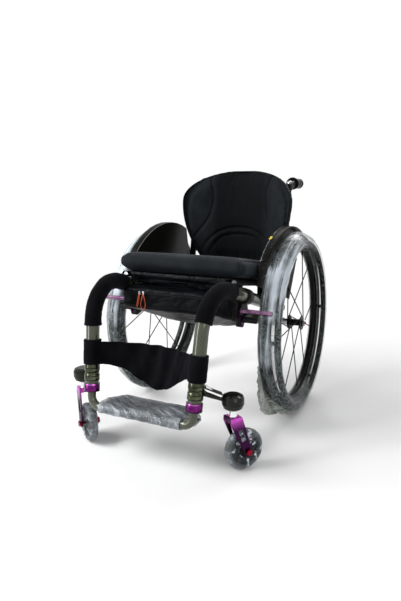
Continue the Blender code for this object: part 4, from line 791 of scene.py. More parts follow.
def transit_film(
    name, point_of, strip, clear, milky, bare, crumples, dull=DULL, fade=None, creased=0.5,
    ring=None, pale=(0.60, 0.66, 0.73),
):
    """Stretched packing film: clear where it lies tight, milky along its streaks and crumples.

    clear and milky are how much it covers at its clearest and its milkiest. bare gives where the
    streaks begin and where they are full, crumples how fine the crumples are, and creased how
    strong. dull is the clear film's colour and pale the milky film's.
    fade gives two heights and two depths of painted light: the film turns milky from the first height to the
    second, as painted light from above, clears a little just above them, and clears from the first depth back
    to the second, as a painted dark reflection towards the rear.
    ring is a wheel's centre, round which the film lies over the tread in a hazy band.
    """
    material, tree, shader = principled(name, pale, 0.16, Specular_IOR_Level=0.35)
    point = point_of(tree)
    drawn = node(tree, "ShaderNodeMapping", {"Vector": point, "Scale": strip}).outputs[0]
    broad = speckle(tree, drawn, 0.38, 3.0, 0.5, 0.5)
    fine = speckle(tree, drawn, 1.0, 5.0, 0.6, 0.4)
    across = maths(tree, "MULTIPLY_ADD", broad, 0.68, maths(tree, "MULTIPLY", fine, 0.32))
    patches = speckle(tree, point, 9.0, 3.0, 0.5)
    crumple = speckle(tree, point, crumples, 5.0, 0.65, 1.6)
    ridge = maths(tree, "ABSOLUTE", maths(tree, "SUBTRACT", crumple, 0.5))
    crease = spread(tree, ridge, 0.0, 0.03, 1.0, 0.0)
    cloud = maths(tree, "ADD", across, maths(tree, "MULTIPLY", patches, 0.6))
    if fade:
        _, depth, height = axes(tree, object_point(tree))
        cloud = maths(tree, "ADD", cloud, spread(tree, height, *fade[:2], -0.24, 0.15))
        cloud = maths(tree, "ADD", cloud, spread(tree, height, fade[1], fade[1] + 0.085, 0.0, -0.20))
        cloud = maths(tree, "ADD", cloud, spread(tree, depth, *fade[2:], 0.0, -0.30))
    streak = spread(tree, cloud, *bare)
    milk = maths(tree, "MAXIMUM", streak, maths(tree, "MULTIPLY", crease, creased))
    grazing = node(tree, "ShaderNodeLayerWeight", {"Blend": 0.4}).outputs["Facing"]
    cover_share = spread(tree, milk, 0.0, 1.0, clear, milky)
    if fade:
        cover_share = maths(tree, "MULTIPLY", cover_share, spread(tree, depth, *fade[2:], 1.0, 0.28))
    edge = spread(tree, grazing, 0.62, 0.97, 0.0, 0.75)
    milk = maths(tree, "MAXIMUM", milk, edge)
    if ring is not None:
        reach = length_of(tree, object_point(tree, ring))
        hazy = spread(tree, broad, 0.38, 0.60, 0.3, 1.0)
        band = maths(tree, "MULTIPLY", spread(tree, reach, 0.040, 0.052, 0.0, 0.55), hazy)
        edge = maths(tree, "MAXIMUM", edge, band)
        milk = maths(tree, "MAXIMUM", milk, band)
    cover_share = maths(tree, "MAXIMUM", cover_share, edge)
    tree.links.new(cover_share, shader.inputs["Alpha"])
    tree.links.new(blend_colour(tree, milk, dull, pale), shader.inputs["Base Color"])
    tree.links.new(spread(tree, crumple, 0.3, 0.7, 0.08, 0.28), shader.inputs["Roughness"])
    raised(tree, shader, across, 0.004, 0.6)
    raised(tree, shader, crumple, 0.002, 0.5)
    return material


def turned_point(turn):
    """Object coordinates turned so that a cloth or a film's streaks run along the piece."""
    return lambda tree: object_point(tree, turn=turn)


BLACK = (0.0016, 0.0016, 0.0014)
WEAVE = (0.0070, 0.0070, 0.0055)
UPRIGHT = (0, math.pi / 2, math.pi / 4)
FACING = (math.pi / 2, 0, math.pi / 4)
COLLAR_PITCH = 0.0112


def make_finishes():
    finish = {
        # The tube's olive green tint is a painted reflection of green surroundings on black carbon.
        "carbon_tube": carbon(
            "clear-coated carbon tube", cloth_point, (0.014, 0.018, 0.006), (0.052, 0.062, 0.022), 1.0, 0.25
        ),
        "carbon_side": carbon("satin carbon panel", turned_point(UPRIGHT), BLACK, WEAVE, 0.0, 0.05),
        "guard_left": carbon("scuffed carbon panel with painted edge highlight", turned_point(UPRIGHT), BLACK, WEAVE, 0.0, 0.05),
        "guard_right": carbon("carbon panel with painted edge highlight", turned_point(UPRIGHT), BLACK, WEAVE, 0.0, 0.05),
        "carbon_back": carbon("satin carbon back", turned_point(FACING), BLACK, WEAVE, 0.03, 0.08),
        "knit": knit("black stretch knit"),
        "cover": cover("black woven cover"),
        "back_cover": cover("black back cover", dim=0.16),
        "piping": cover("black piping", (0.002, 0.0025, 0.003), (0.004, 0.005, 0.006)),
        "nylon": nylon("black coated nylon"),
        # Dark plum is the brake arm's own colour, and painted shade where it lies on the rod and the fork.
        "plum": anodised("dark plum anodised and painted shade", (0.014, 0.004, 0.014), (0.045, 0.010, 0.045)),
        "clamp": clamp_metal("purple anodised clamp"),
        "pink": anodised("faded purple rod", (0.13, 0.055, 0.125), (0.32, 0.19, 0.30), (0.15, 0.3)),
        "fork": fork_metal("anodised fork with painted crown highlight"),
        "red": anodised("red anodised", (0.13, 0.002, 0.010), (0.32, 0.012, 0.03)),
        "mirror": bright_metal("polished aluminium", (0.80, 0.80, 0.79), grey(0.9), (0.05, 0.14)),
        "dark_steel": bright_metal("dark steel", (0.10, 0.10, 0.105), (0.20, 0.20, 0.21), (0.16, 0.3)),
        "steel": bright_metal("bright steel", (0.42, 0.43, 0.44), (0.58, 0.59, 0.60), (0.18, 0.34)),
        "lacquer": gloss_black("black lacquer", shine=0.07),
        "coat": gloss_black(
            "black powder coat", (0.004, 0.004, 0.0045), (0.010, 0.010, 0.011), (0.3, 0.45), 0.15
        ),
        "spoke": gloss_black("black spokes", grey(0.0015), grey(0.003), (0.4, 0.6), 0.03),
        "olive": gloss_black(
            "olive black gloss and painted dark reflection", (0.004, 0.005, 0.0025), (0.010, 0.012, 0.006), (0.06, 0.16), 0.2
        ),
        "collar": banded(
            anodised("dark collar", (0.030, 0.035, 0.018), (0.11, 0.12, 0.08), (0.1, 0.24)), COLLAR_PITCH
        ),
        "tyre": rubber("tyre rubber", (0.007, 0.008, 0.008), (0.018, 0.020, 0.020)),
        "caster": rubber("caster tyre", (0.050, 0.055, 0.052), (0.120, 0.130, 0.125), (0.35, 0.5)),
        "grip": rubber("black grip rubber", grey(0.002), grey(0.005), (0.16, 0.32), 0.035),
        "orange": cover("orange cord", (0.62, 0.09, 0.03), (0.80, 0.20, 0.08)),
        "yellow": rubber("yellow tape", (0.62, 0.44, 0.03), (0.80, 0.62, 0.08), (0.35, 0.5)),
    }
    # The pale line along each guard's edge is a painted highlight; the left guard's scratches are wear.
    edged(scuffed(finish["guard_left"]), (0.42, 0.42, 0.43), (0.42, 0.50))
    edged(finish["guard_right"], (0.30, 0.30, 0.31), (0.30, 0.38))
    add_films(finish)
    return finish


def add_films(finish):
    """The four kinds of packing film, each with streaks that run as it was pulled."""
    # Heights and depths for the wheel film's painted light: milkier higher up, as light from above, and
    # clearer towards the rear, as a painted dark reflection.
    wound = (0.17, 0.50, AXLE.y - 0.04, AXLE.y + 0.13)
    gathered = (0.055, 0.065, 0.070)
    finish["wheel_film"] = transit_film(
        "film on the wheel", cloth_point, (7.0, 150.0, 1.0), 0.22, 0.90, (0.72, 0.93), 48.0,
        fade=wound, creased=0.6,
    )
    finish["loose_film"] = transit_film(
        "loose film", object_point, (70.0, 70.0, 14.0), 0.32, 0.9, (0.67, 0.95), 90.0,
        creased=0.8, pale=(0.50, 0.55, 0.50),
    )
    finish["plate_film"] = transit_film(
        "film on the plate", turned_point((0, 0, 0.5)), (24.0, 240.0, 60.0), 0.35, 0.75, (0.66, 1.06), 100.0,
        gathered,
    )
    for side, _ in SIDES:
        # The narrow streak bounds leave sparse milky specks, painted glints on the caster film.
        finish[f"caster_film_{side}"] = transit_film(
            f"film on the {side} caster", object_point, (120.0, 120.0, 120.0), 0.08, 0.95, (0.86, 0.93),
            60.0, gathered, creased=0.25, ring=middle(f"caster_wheel_{side}"),
        )


# Studio


def make_camera():
    back = Vector(
        (
            math.sin(CAMERA_AZIMUTH) * math.cos(CAMERA_ELEVATION),
            -math.cos(CAMERA_AZIMUTH) * math.cos(CAMERA_ELEVATION),
            math.sin(CAMERA_ELEVATION),
        )
    )
    right = Vector((math.cos(CAMERA_AZIMUTH), math.sin(CAMERA_AZIMUTH), 0))
    turn = Matrix((right, back.cross(right), back)).transposed() @ Matrix.Rotation(CAMERA_ROLL, 3, "Z")
    lens = bpy.data.cameras.new("camera")
    lens.sensor_width = CAMERA_SENSOR
    lens.lens = CAMERA_LENS
    lens.shift_y = CAMERA_SHIFT_Y
    camera = bpy.data.objects.new("camera", lens)
    bpy.context.scene.collection.objects.link(camera)
    camera.matrix_world = Matrix.Translation(at(*CAMERA_AT)) @ turn.to_4x4()
    bpy.context.scene.camera = camera


def soft_light(name, place, target, size, watts):
    lamp = bpy.data.lights.new(name, "AREA")
    lamp.shape = "RECTANGLE"
    lamp.size, lamp.size_y = size
    lamp.energy = watts
    obj = bpy.data.objects.new(name, lamp)
    bpy.context.scene.collection.objects.link(obj)
    obj.location = place
    obj.rotation_euler = (Vector(target) - Vector(place)).to_track_quat("-Z", "Y").to_euler()


def seen_directly(tree):
    """1 where the camera, a reflection or a clear material looks, and 0 for the light on the chair."""
    rays = node(tree, "ShaderNodeLightPath")
    seen = maths(tree, "MAXIMUM", rays.outputs["Is Camera Ray"], rays.outputs["Is Transmission Ray"])
    return maths(tree, "MAXIMUM", seen, rays.outputs["Is Glossy Ray"])


WORLD_LIGHT = 0.32
FLOOR_SIZE = 80.0
FLOOR_Z = -0.0006
# The floor turns from grey to plain white between these distances from the chair's middle
FLOOR_FADE = (0.55, 1.7)


def make_studio():
    scene = bpy.context.scene
    scene.view_settings.view_transform = "Standard"
    world = bpy.data.worlds.new("studio")
    scene.world = world
    world.use_nodes = True
    tree = world.node_tree
    tree.nodes.clear()
    strength = spread(tree, seen_directly(tree), 0.0, 1.0, WORLD_LIGHT, 1.0)
    light = node(tree, "ShaderNodeBackground", {"Color": (1, 1, 1, 1), "Strength": strength})
    sky = node(tree, "ShaderNodeOutputWorld", {"Surface": light.outputs[0]})
    sky.is_active_output = True

    bpy.ops.object.select_all(action="DESELECT")
    bpy.ops.mesh.primitive_plane_add(size=FLOOR_SIZE, location=(0, 0, FLOOR_Z))
    floor = bpy.context.object
    floor.name = "studio_floor"
    material, tree, shader = principled("pale floor", (0.90, 0.90, 0.90), 0.7, Specular_IOR_Level=0.1)
    point = object_point(tree)
    tone = blend_colour(tree, speckle(tree, point, 3.0), (0.88, 0.88, 0.88), (0.92, 0.92, 0.92))
    tree.links.new(tone, shader.inputs["Base Color"])
    values = {"Value": length_of(tree, point), "From Min": FLOOR_FADE[0], "From Max": FLOOR_FADE[1]}
    away = node(tree, "ShaderNodeMapRange", values, interpolation_type="SMOOTHSTEP")
    share = maths(tree, "MULTIPLY", away.outputs[0], seen_directly(tree))
    glow = node(tree, "ShaderNodeEmission", {"Color": (1, 1, 1, 1), "Strength": 1.0})
    mixed = node(tree, "ShaderNodeMixShader", {0: share})
    tree.links.new(shader.outputs[0], mixed.inputs[1])
    tree.links.new(glow.outputs[0], mixed.inputs[2])
    tree.links.new(mixed.outputs[0], tree.nodes["Material Output"].inputs["Surface"])
    floor.data.materials.append(material)

    soft_light("key", (-2.0, -1.6, 2.4), (0, 0, 0.4), (1.8, 1.4), 105)
    soft_light("fill", (2.4, -1.8, 1.6), (0, 0, 0.4), (1.6, 1.6), 22)
    soft_light("back", (0.4, 2.4, 2.4), (0, 0, 0.5), (2.4, 1.2), 52)
    soft_light("strip", (-1.5, -2.1, 0.75), (0, 0, 0.45), (0.28, 1.5), 18)


# Wheels


def out_of(sign):
    """Turns +Z outwards along X."""
    return Matrix.Rotation(sign * math.pi / 2, 4, "Y")


def wheel_place(side, sign):
    return Matrix.Translation(middle(f"tyre_{side}")) @ Matrix.Rotation(-sign * CAMBER, 4, "Y") @ out_of(sign)


CAMBER = math.radians(1.0)
WHEEL_STEPS = 96
TYRE_R = 0.298
TYRE_DEPTH = 0.028
TYRE_WIDTH = 0.032
CASING_STEPS = 28
GROOVED_STEPS = (1, 3, 25, 27)
GROOVE_DEEP = 0.0009
SHOULDER_FROM = 0.0085
SHOULDER_TO = 0.0125
SHOULDER_DEEP = 0.009
BLOCK_EDGE = 0.0009
BLOCK_DEEP = 0.0011
RIM_R = 0.2697
RIM_DEEP = 0.027
RIM_HALF = 0.0135
HANDRIM_R = 0.264
HANDRIM_TUBE_R = 0.0095
HANDRIM_OUT = 0.0345
TABS = 6
TAB_DEEP = 0.007
TAB_WIDE = 0.012
HUB_IN = 0.018
HUB_OUT = 0.034
HUB_LACQUER_R = 0.045
FLANGE_R = 0.024
SPOKE_R = 0.0017
SPOKE_INSET = 0.0044
SPOKE_PAIRS = 6
PAIR_TURN = math.radians(54.0)
HALF_SPREAD = math.radians(11.7)
SPOKE_LEAD = math.radians(78.0)
VALVE_TURN = PAIR_TURN + math.radians(30.0)
NIPPLE = [(0, 0.0), (0.0030, 0.0), (0.0030, 0.008), (0.0018, 0.011), (0, 0.011)]
VALVE = [(0, 0.0), (0.0055, 0.0), (0.0055, 0.004), (0.0032, 0.005), (0.0032, 0.030)]
VALVE += [(0.0042, 0.031), (0.0042, 0.039), (0, 0.040)]


def tyre_profile():
    """A round casing with four shallow grooves along its tread."""
    centre = TYRE_R - TYRE_DEPTH / 2
    points = []
    for step in range(CASING_STEPS):
        angle = 2 * math.pi * step / CASING_STEPS
        radius = centre + TYRE_DEPTH / 2 * math.cos(angle)
        if step in GROOVED_STEPS:
            radius -= GROOVE_DEEP
        points.append((radius, TYRE_WIDTH / 2 * math.sin(angle)))
    return points


def make_tyre(side, place, finish):
    """The casing, with every second face of its shoulders sunk between tread blocks."""
    tyre = turned(f"tyre_{side}_moulded", tyre_profile(), place, WHEEL_STEPS)
    to_wheel = place.inverted()
    sunk = set()
    for face in tyre.data.polygons:
        spot = to_wheel @ face.center
        turn = round(math.atan2(spot.y, spot.x) / (2 * math.pi) * WHEEL_STEPS + 0.5)
        near_tread = math.hypot(spot.x, spot.y) > TYRE_R - SHOULDER_DEEP
        if near_tread and SHOULDER_FROM < abs(spot.z) < SHOULDER_TO and turn % 2 == 0:
            sunk.add(face.index)
    inset_faces(tyre, sunk, BLOCK_EDGE, -BLOCK_DEEP)
    smooth(tyre, 35)
    dress(tyre, f"rear_wheel_{side}", finish["tyre"], [f"tyre_{side}"])


def mirrored(half):
    """A profile closed by its mirror image on the other side of the wheel's middle."""
    return half + [(radius, -height) for radius, height in reversed(half)]


def spoke_angles(twist):
    """Where the spokes of a flange meet the rim: twist is 1 for the outer flange, -1 for the inner."""
    pairs = [2 * math.pi * pair / SPOKE_PAIRS for pair in range(SPOKE_PAIRS)]
    return [PAIR_TURN + turn + twist * HALF_SPREAD for turn in pairs]


def spoke_turn(sign, angle):
    """Turns the wheel's own +Z towards its rim, at an angle from the chair's +Y towards its +Z."""
    direction = out_of(sign).inverted() @ Vector((0, math.cos(angle), math.sin(angle), 0))
    return Vector((0, 0, 1)).rotation_difference(direction.to_3d()).to_matrix().to_4x4()


def make_rim(side, sign, place, finish):
    """A deep rim with a nipple for each spoke and a valve."""
    inner = RIM_R - RIM_DEEP
    half = [(RIM_R, 0.0095), (RIM_R - 0.0015, 0.0118), (RIM_R - 0.006, RIM_HALF)]
    half += [(RIM_R - 0.013, RIM_HALF * 0.97), (inner + 0.006, RIM_HALF * 0.74)]
    half += [(inner + 0.0015, RIM_HALF * 0.48), (inner, RIM_HALF * 0.2)]
    rim = turned(f"rim_{side}_shell", mirrored(half), Matrix.Identity(4), WHEEL_STEPS)
    inwards = Matrix.Translation((0, 0, inner + 0.001)) @ Matrix.Rotation(math.pi, 4, "X")
    places = [spoke_turn(sign, angle) @ inwards for angle in spoke_angles(1) + spoke_angles(-1)]
    nipples = copies(turned("nipple", NIPPLE, Matrix.Identity(4), 8, loop=False), places)
    valve = turned("valve", VALVE, spoke_turn(sign, VALVE_TURN) @ inwards, 12, loop=False)
    whole = joined(f"rim_{side}_shell", [rim, valve] + nipples)
    settle(whole, place)
    dress(whole, f"rear_wheel_{side}", finish["lacquer"], [f"rim_{side}"])


def make_hub(side, sign, place, finish):
    """A stepped shell with two flanges, and twelve straight spokes in crossing pairs."""
    bore, shell, wall = 0.0070, 0.0125, 0.004
    low, high = -HUB_IN + 0.003, HUB_OUT - 0.003
    profile = [(bore, -HUB_IN), (shell - 0.001, -HUB_IN), (shell, -HUB_IN + 0.001), (shell, low - 0.0005)]
    profile += [(FLANGE_R - 0.001, low), (FLANGE_R, low + 0.001), (FLANGE_R, low + wall - 0.001)]
    profile += [(FLANGE_R - 0.001, low + wall), (shell, low + wall + 0.003)]
    profile += [(shell - 0.0015, low + wall + 0.006), (shell - 0.0015, high - wall - 0.006)]
    profile += [(shell, high - wall - 0.003), (FLANGE_R - 0.001, high - wall)]
    profile += [(FLANGE_R, high - wall + 0.001), (FLANGE_R, high - 0.001), (FLANGE_R - 0.001, high)]
    profile += [(shell, high + 0.0005), (shell, HUB_OUT - 0.001), (shell - 0.001, HUB_OUT), (bore, HUB_OUT)]
    pieces = [turned(f"hub_{side}_shell", profile, Matrix.Identity(4), 48)]
    root = FLANGE_R - SPOKE_INSET
    rim_end = RIM_R - RIM_DEEP - 0.0003
    inwards = out_of(sign).inverted()
    pairs = [2 * math.pi * pair / SPOKE_PAIRS for pair in range(SPOKE_PAIRS)]
    round_axle = [inwards @ Matrix.Rotation(turn, 4, "X") @ out_of(sign) for turn in pairs]
    for twist, flange in ((1, high - wall / 2), (-1, low + wall / 2)):
        rim_turn = spoke_angles(twist)[0]
        hub_turn = rim_turn - twist * SPOKE_LEAD
        start = inwards @ Vector((sign * flange, root * math.cos(hub_turn), root * math.sin(hub_turn)))
        end = inwards @ Vector((0, rim_end * math.cos(rim_turn), rim_end * math.sin(rim_turn)))
        bpy.ops.object.select_all(action="DESELECT")
        bpy.ops.mesh.primitive_cylinder_add(vertices=10, radius=SPOKE_R, depth=(end - start).length)
        spoke = bpy.context.object
        lean = Vector((0, 0, 1)).rotation_difference(end - start).to_matrix().to_4x4()
        settle(spoke, Matrix.Translation((start + end) / 2) @ lean)
        smooth(spoke)
        pieces += copies(spoke, round_axle)
    whole = joined(f"hub_{side}_spoked", pieces)
    settle(whole, place)
    dress(whole, f"rear_wheel_{side}", finish["spoke"], [f"hub_{side}"])
    axle = place.translation
    second_finish(whole, finish["lacquer"], lambda face: (face.center - axle).length < HUB_LACQUER_R)


def make_handrim(side, place, finish):
    """A round ring on six tabs that stand on the rim's flank."""
    bpy.ops.object.select_all(action="DESELECT")
    bpy.ops.mesh.primitive_torus_add(
        location=(0, 0, HANDRIM_OUT),
        major_segments=WHEEL_STEPS,
        minor_segments=16,
        major_radius=HANDRIM_R,
        minor_radius=HANDRIM_TUBE_R,
    )
    ring = bpy.context.object
    bpy.ops.object.transform_apply(location=True, rotation=True, scale=True)
    smooth(ring)
    low, high = RIM_HALF + 0.0003, HANDRIM_OUT
    middle_of_tab = (HANDRIM_R - 0.0005, 0, (low + high) / 2)
    tab = rounded(block("handrim_tab", (TAB_DEEP, TAB_WIDE, high - low), middle_of_tab), 0.0015)
    turns = [2 * math.pi * (step + 0.5) / TABS for step in range(TABS)]
    tabs = copies(tab, [Matrix.Rotation(turn, 4, "Z") for turn in turns])
    whole = joined(f"handrim_{side}_tube", [ring] + tabs)
    settle(whole, place)
    dress(whole, f"rear_wheel_{side}", finish["lacquer"], [f"handrim_{side}"])


def section_points(corners, count):
    """count points spread along the line through corners, softened at the turns."""
    line = [Vector((r, w, 0)) for r, w in corners]
    fine = evenly(line, 0.002)
    for _ in range(6):
        inner = [(a + b * 2 + c) / 4 for a, b, c in zip(fine, fine[1:], fine[2:])]
        fine = [fine[0]] + inner + [fine[-1]]
    return evenly(fine, length_along(fine) / (count - 1))


FILM_WALL = 0.0003
# The film's section over tyre and handrim, as radius and place along the axle
WRAP_CORNERS = [
    (0.2475, -0.0120), (0.2530, -0.0150), (0.2640, -0.0165), (0.2760, -0.0185),
    (0.2900, -0.0180), (0.2985, -0.0110), (0.3004, 0.0000), (0.2994, 0.0095),
    (0.2950, 0.0230), (0.2865, 0.0380), (0.2780, 0.0448), (0.2660, 0.0468),
    (0.2560, 0.0440), (0.2515, 0.0360), (0.2455, 0.0270), (0.2405, 0.0175),
]
WRAP_GIRTH = 0.16
WRAP_ROUND = 1.76
WRAP_LOW_Z = 0.0004


def make_wheel_film(side, sign, place, finish):
    """Film wound over the tyre and the handrim together. Its map is cut where the wheel meets the floor."""
    columns, rows = 260, 30
    cut = 0.0 if sign > 0 else 0.5
    section = section_points(WRAP_CORNERS, rows)
    points = []
    places = []
    for column in range(columns + 1):
        angle = 2 * math.pi * (column / columns + cut)
        for row, spot in enumerate(section):
            share = row / (rows - 1)
            before, after = section[max(row - 1, 0)], section[min(row + 1, rows - 1)]
            run = (after - before).normalized()
            here = Vector((math.cos(angle) * 7, math.sin(angle) * 7, share * 5 + sign * 3))
            lift = noise.noise(here) * 0.0012 + math.sin(angle * 31 + share * 5) * 0.00035
            r = spot.x + run.y * lift
            w = spot.y - run.x * lift
            point = place @ Vector((r * math.cos(angle), r * math.sin(angle), w))
            point.z = max(point.z, WRAP_LOW_Z)
            points.append(point)
            places.append((WRAP_ROUND * column / columns, WRAP_GIRTH * share))
    film = mesh_of(f"wheel_film_{side}", points, grid_faces(columns + 1, rows), places)
    closed(film)
    thicken(film, FILM_WALL, 1.0)
    smooth(film, 60)
    dress(film, f"rear_wheel_{side}", finish["wheel_film"])


# How far the loose film reaches from the axle, by its angle in degrees up from straight ahead
TAIL_EDGE = [(-12, 0.301), (-20, 0.317), (-25, 0.332), (-32, 0.348), (-37, 0.346)]
TAIL_EDGE += [(-45, 0.333), (-54, 0.317), (-63, 0.302)]
TAIL_CLEAR = 0.003


def make_film_tail(finish):
    """The loose end of the left wheel's film.

    Low at the front it laps over the tread, and stands out from it as a ragged fin.
    """
    columns, lap_rows, fin_rows = 90, 22, 26
    place = wheel_place("left", 1)
    turns = [math.radians(turn) for turn, _ in reversed(TAIL_EDGE)]
    reaches = [reach for _, reach in reversed(TAIL_EDGE)]
    tread = [spot for spot in section_points(WRAP_CORNERS, 90) if spot.x > 0.285 and spot.y > -0.0135]
    points = []
    for column in range(columns):
        along = column / (columns - 1)
        angle = turns[-1] + (turns[0] - turns[-1]) * along
        reach = float(np.interp(angle, turns, reaches)) + 0.004 * noise.noise(Vector((along * 26, 3.0, 0)))
        reach = min(reach, (AXLE.z - TAIL_CLEAR) / math.sin(-angle))
        seen = place.inverted() @ at(tread[0].y, -math.cos(angle), AXLE.z + math.sin(angle))
        turn = math.atan2(seen.y, seen.x)
        ragged = 0.10 * noise.noise(Vector((along * 14, 8.0, 0)))
        lapped = float(np.interp(along, (0.0, 0.35, 0.72, 1.0), (0.06, 0.12, 0.80, 0.98))) + ragged
        lapped = min(max(lapped, 0.05), 1.0) * (len(tread) - 1)
        for row in range(lap_rows):
            step = lapped * (1 - row / (lap_rows - 1))
            before = min(int(step), len(tread) - 2)
            spot = tread[before].lerp(tread[before + 1], step - before)
            crumple = noise.noise(Vector((along * 34, row * 0.45, 7.0))) * 0.0016
            r = spot.x + 0.0022 + crumple
            points.append(place @ Vector((r * math.cos(turn), r * math.sin(turn), spot.y)))
        root = points[-1]
        root_r = math.hypot(root.y - AXLE.y, root.z - AXLE.z)
        for row in range(1, fin_rows):
            out = row / (fin_rows - 1)
            r = root_r + (max(reach, root_r + TAIL_CLEAR) - root_r) * out
            sway = noise.noise(Vector((along * 9, out * 4, 1.0))) * 0.008
            sway += noise.noise(Vector((along * 30, out * 12, 5.0))) * 0.004
            x = root.x + 0.002 * out + sway * min(1.0, 2 * out)
            points.append(at(x, -r * math.cos(angle), AXLE.z + r * math.sin(angle)))
    tail = mesh_of("film_tail", points, grid_faces(columns, lap_rows + fin_rows - 1))
    thicken(tail, FILM_WALL)
    smooth(tail, 60)
    dress(tail, "rear_wheel_left", finish["loose_film"])


def make_rear_wheel(side, sign, finish):
    place = wheel_place(side, sign)
    make_tyre(side, place, finish)
    make_rim(side, sign, place, finish)
    make_hub(side, sign, place, finish)
    make_handrim(side, place, finish)
    make_wheel_film(side, sign, place, finish)


# Frame


AXLE_TUBE_HALF = 0.186
FOOTREST_TOP_Z = 0.229
FOOTREST_LOW_Z = 0.139
FOOTREST_BEND_R = 0.030
FOOTREST_R = 0.012


def make_frame_tubes(finish):
    for side, sign in SIDES:
        path = main_path(sign, LEG_END_Z, SIDE_REAR_Y)
        tube = wrapped_tube(f"side_frame_{side}_wrapped", path, TUBE_R, TUBE_WALL)
        dress(tube, "frame", finish["carbon_tube"], [f"side_frame_{side}"])
    ends = [Vector((x, AXLE.y, AXLE.z)) for x in (-AXLE_TUBE_HALF, AXLE_TUBE_HALF)]
    axle = wrapped_tube("axle_tube_wrapped", ends, TUBE_R, TUBE_WALL)
    dress(axle, "frame", finish["carbon_tube"], ["axle_tube"])
    corners = [leg_point(1, FOOTREST_TOP_Z), leg_point(1, FOOTREST_LOW_Z)]
    corners += [leg_point(-1, FOOTREST_LOW_Z), leg_point(-1, FOOTREST_TOP_Z)]
    path = fillet(corners, FOOTREST_BEND_R, 12)
    rest = wrapped_tube("footrest_tube_wrapped", path, FOOTREST_R, sides=5, step=0.005)
    dress(rest, "frame", finish["carbon_tube"], ["footrest_tube"])


# Knitted covers


SLEEVE_R = 0.0240
SLEEVE_WALL = 0.0042
SLEEVE_HEM = 0.007
CUT_EDGE = 0.0015
STITCH_WIDE = 0.0012


def make_knee_sleeve(side, sign, finish):
    """A stretch sleeve with hemmed ends, creased on the inside of the bend."""
    line = evenly(main_path(sign, SLEEVE_LOW_Z[side], SLEEVE_REAR_Y), 0.002)
    length = length_along(line)
    sleeve = piped(f"knee_sleeve_{side}_knitted", line, SLEEVE_R, 12, caps=False)
    spots = {}
    for loop, spot in zip(sleeve.data.loops, sleeve.data.uv_layers[0].data):
        spots[loop.vertex_index] = (spot.uv.x * length, spot.uv.y * 2 * math.pi)
    inside = Vector((0, 1, -1)).normalized()

    def creased(vert):
        run, turn = spots[vert.index]
        to_end = min(run, length - run)
        crease = noise.noise(Vector((run * 75, math.cos(turn) * 0.8, math.sin(turn) * 0.8 + sign)))
        slack = 0.25 + 0.75 * max(0.0, vert.normal.dot(inside))
        lift = crease * 0.0017 * slack
        lift += noise.noise(Vector((run * 18, math.cos(turn) * 1.5, math.sin(turn) * 1.5 + 7))) * 0.0008
        lift += 0.0007 if to_end < SLEEVE_HEM else -ridge(to_end - 0.0085, 0.0006, STITCH_WIDE)
        if to_end < CUT_EDGE:
            lift -= 0.0008
        return vert.normal * lift

    shifted(sleeve, creased)
    thicken(sleeve, SLEEVE_WALL, -1.0)
    smooth(sleeve, 60)
    dress(sleeve, "frame", finish["knit"], [f"knee_sleeve_{side}"])


STRAP_TOP_Z = 0.326
STRAP_LOW_Z = 0.258
STRAP_WRAP_R = 0.0252
STRAP_WRAP_WALL = 0.0052
STRAP_SAG = 0.070
STRAP_DEEPEST_X = 0.045


def make_calf_strap(finish):
    """Two wraps round the legs and the slack panel between them, deepest to the left of the middle."""
    pieces = []
    for side, sign in SIDES:
        line = evenly([leg_point(sign, STRAP_LOW_Z), leg_point(sign, STRAP_TOP_Z)], 0.002)
        wrap = piped(f"strap_wrap_{side}", line, STRAP_WRAP_R, 12, caps=False)
        high = leg_point(sign, STRAP_TOP_Z).z
        low = leg_point(sign, STRAP_LOW_Z).z

        def hemmed(vert):
            to_end = min(high - vert.co.z, vert.co.z - low)
            lift = noise.noise(Vector((vert.co.x * 40, vert.co.y * 40, vert.co.z * 90))) * 0.0007
            lift -= ridge(to_end - 0.0075, 0.0007, STITCH_WIDE)
            lift -= 0.0006 if to_end < CUT_EDGE else 0.0
            return vert.normal * lift

        shifted(wrap, hemmed)
        thicken(wrap, STRAP_WRAP_WALL, -1.0)
        pieces.append(wrap)
    middle_z = (STRAP_TOP_Z + STRAP_LOW_Z) / 2
    half = leg_point(1, middle_z).x - TUBE_R - 0.0032
    leg_y = leg_point(1, middle_z).y - AXLE.y
    columns, rows = 150, 44
    points = []
    for column in range(columns):
        share = 2 * column / (columns - 1) - 1
        slack = 1 - share**2
        low = STRAP_LOW_Z - ridge(share * half - STRAP_DEEPEST_X, STRAP_SAG * slack**1.5, half)
        low += 0.0016 * noise.noise(Vector((share * 14, 0, 0))) * slack
        top = STRAP_TOP_Z - 0.004 - 0.008 * slack
        for row in range(rows):
            down = row / (rows - 1)
            z = top + (low - top) * down
            fold = 0.0035 * slack * math.sin(math.pi * 5 * (share + 0.25 * down))
            drag = max(0.0, share - 0.35) * slack * 0.004
            fold += drag * math.sin(26 * (share * 1.4 + down * 0.35))
            fold += 0.0022 * slack * noise.noise(Vector((share * 7, down * 2.2, 0)))
            fold += ridge(min(z - low, top - z) - 0.0070, 0.0008, 0.0013)
            fold += ridge(abs(share * half) - half + 0.010, 0.0008, 0.0013)
            y = leg_y + LEG_RAKE * (z - middle_z) + 0.062 * slack + fold
            points.append(at(share * half, y, z))
    panel = mesh_of("strap_panel", points, grid_faces(columns, rows))
    thicken(panel, 0.0036)
    pieces.append(panel)
    strap = joined("calf_strap_knitted", pieces)
    smooth(strap, 60)
    dress(strap, "frame", finish["knit"], ["calf_strap"])


# Seat, backrest and bag


SWELL_FRAMES = 20


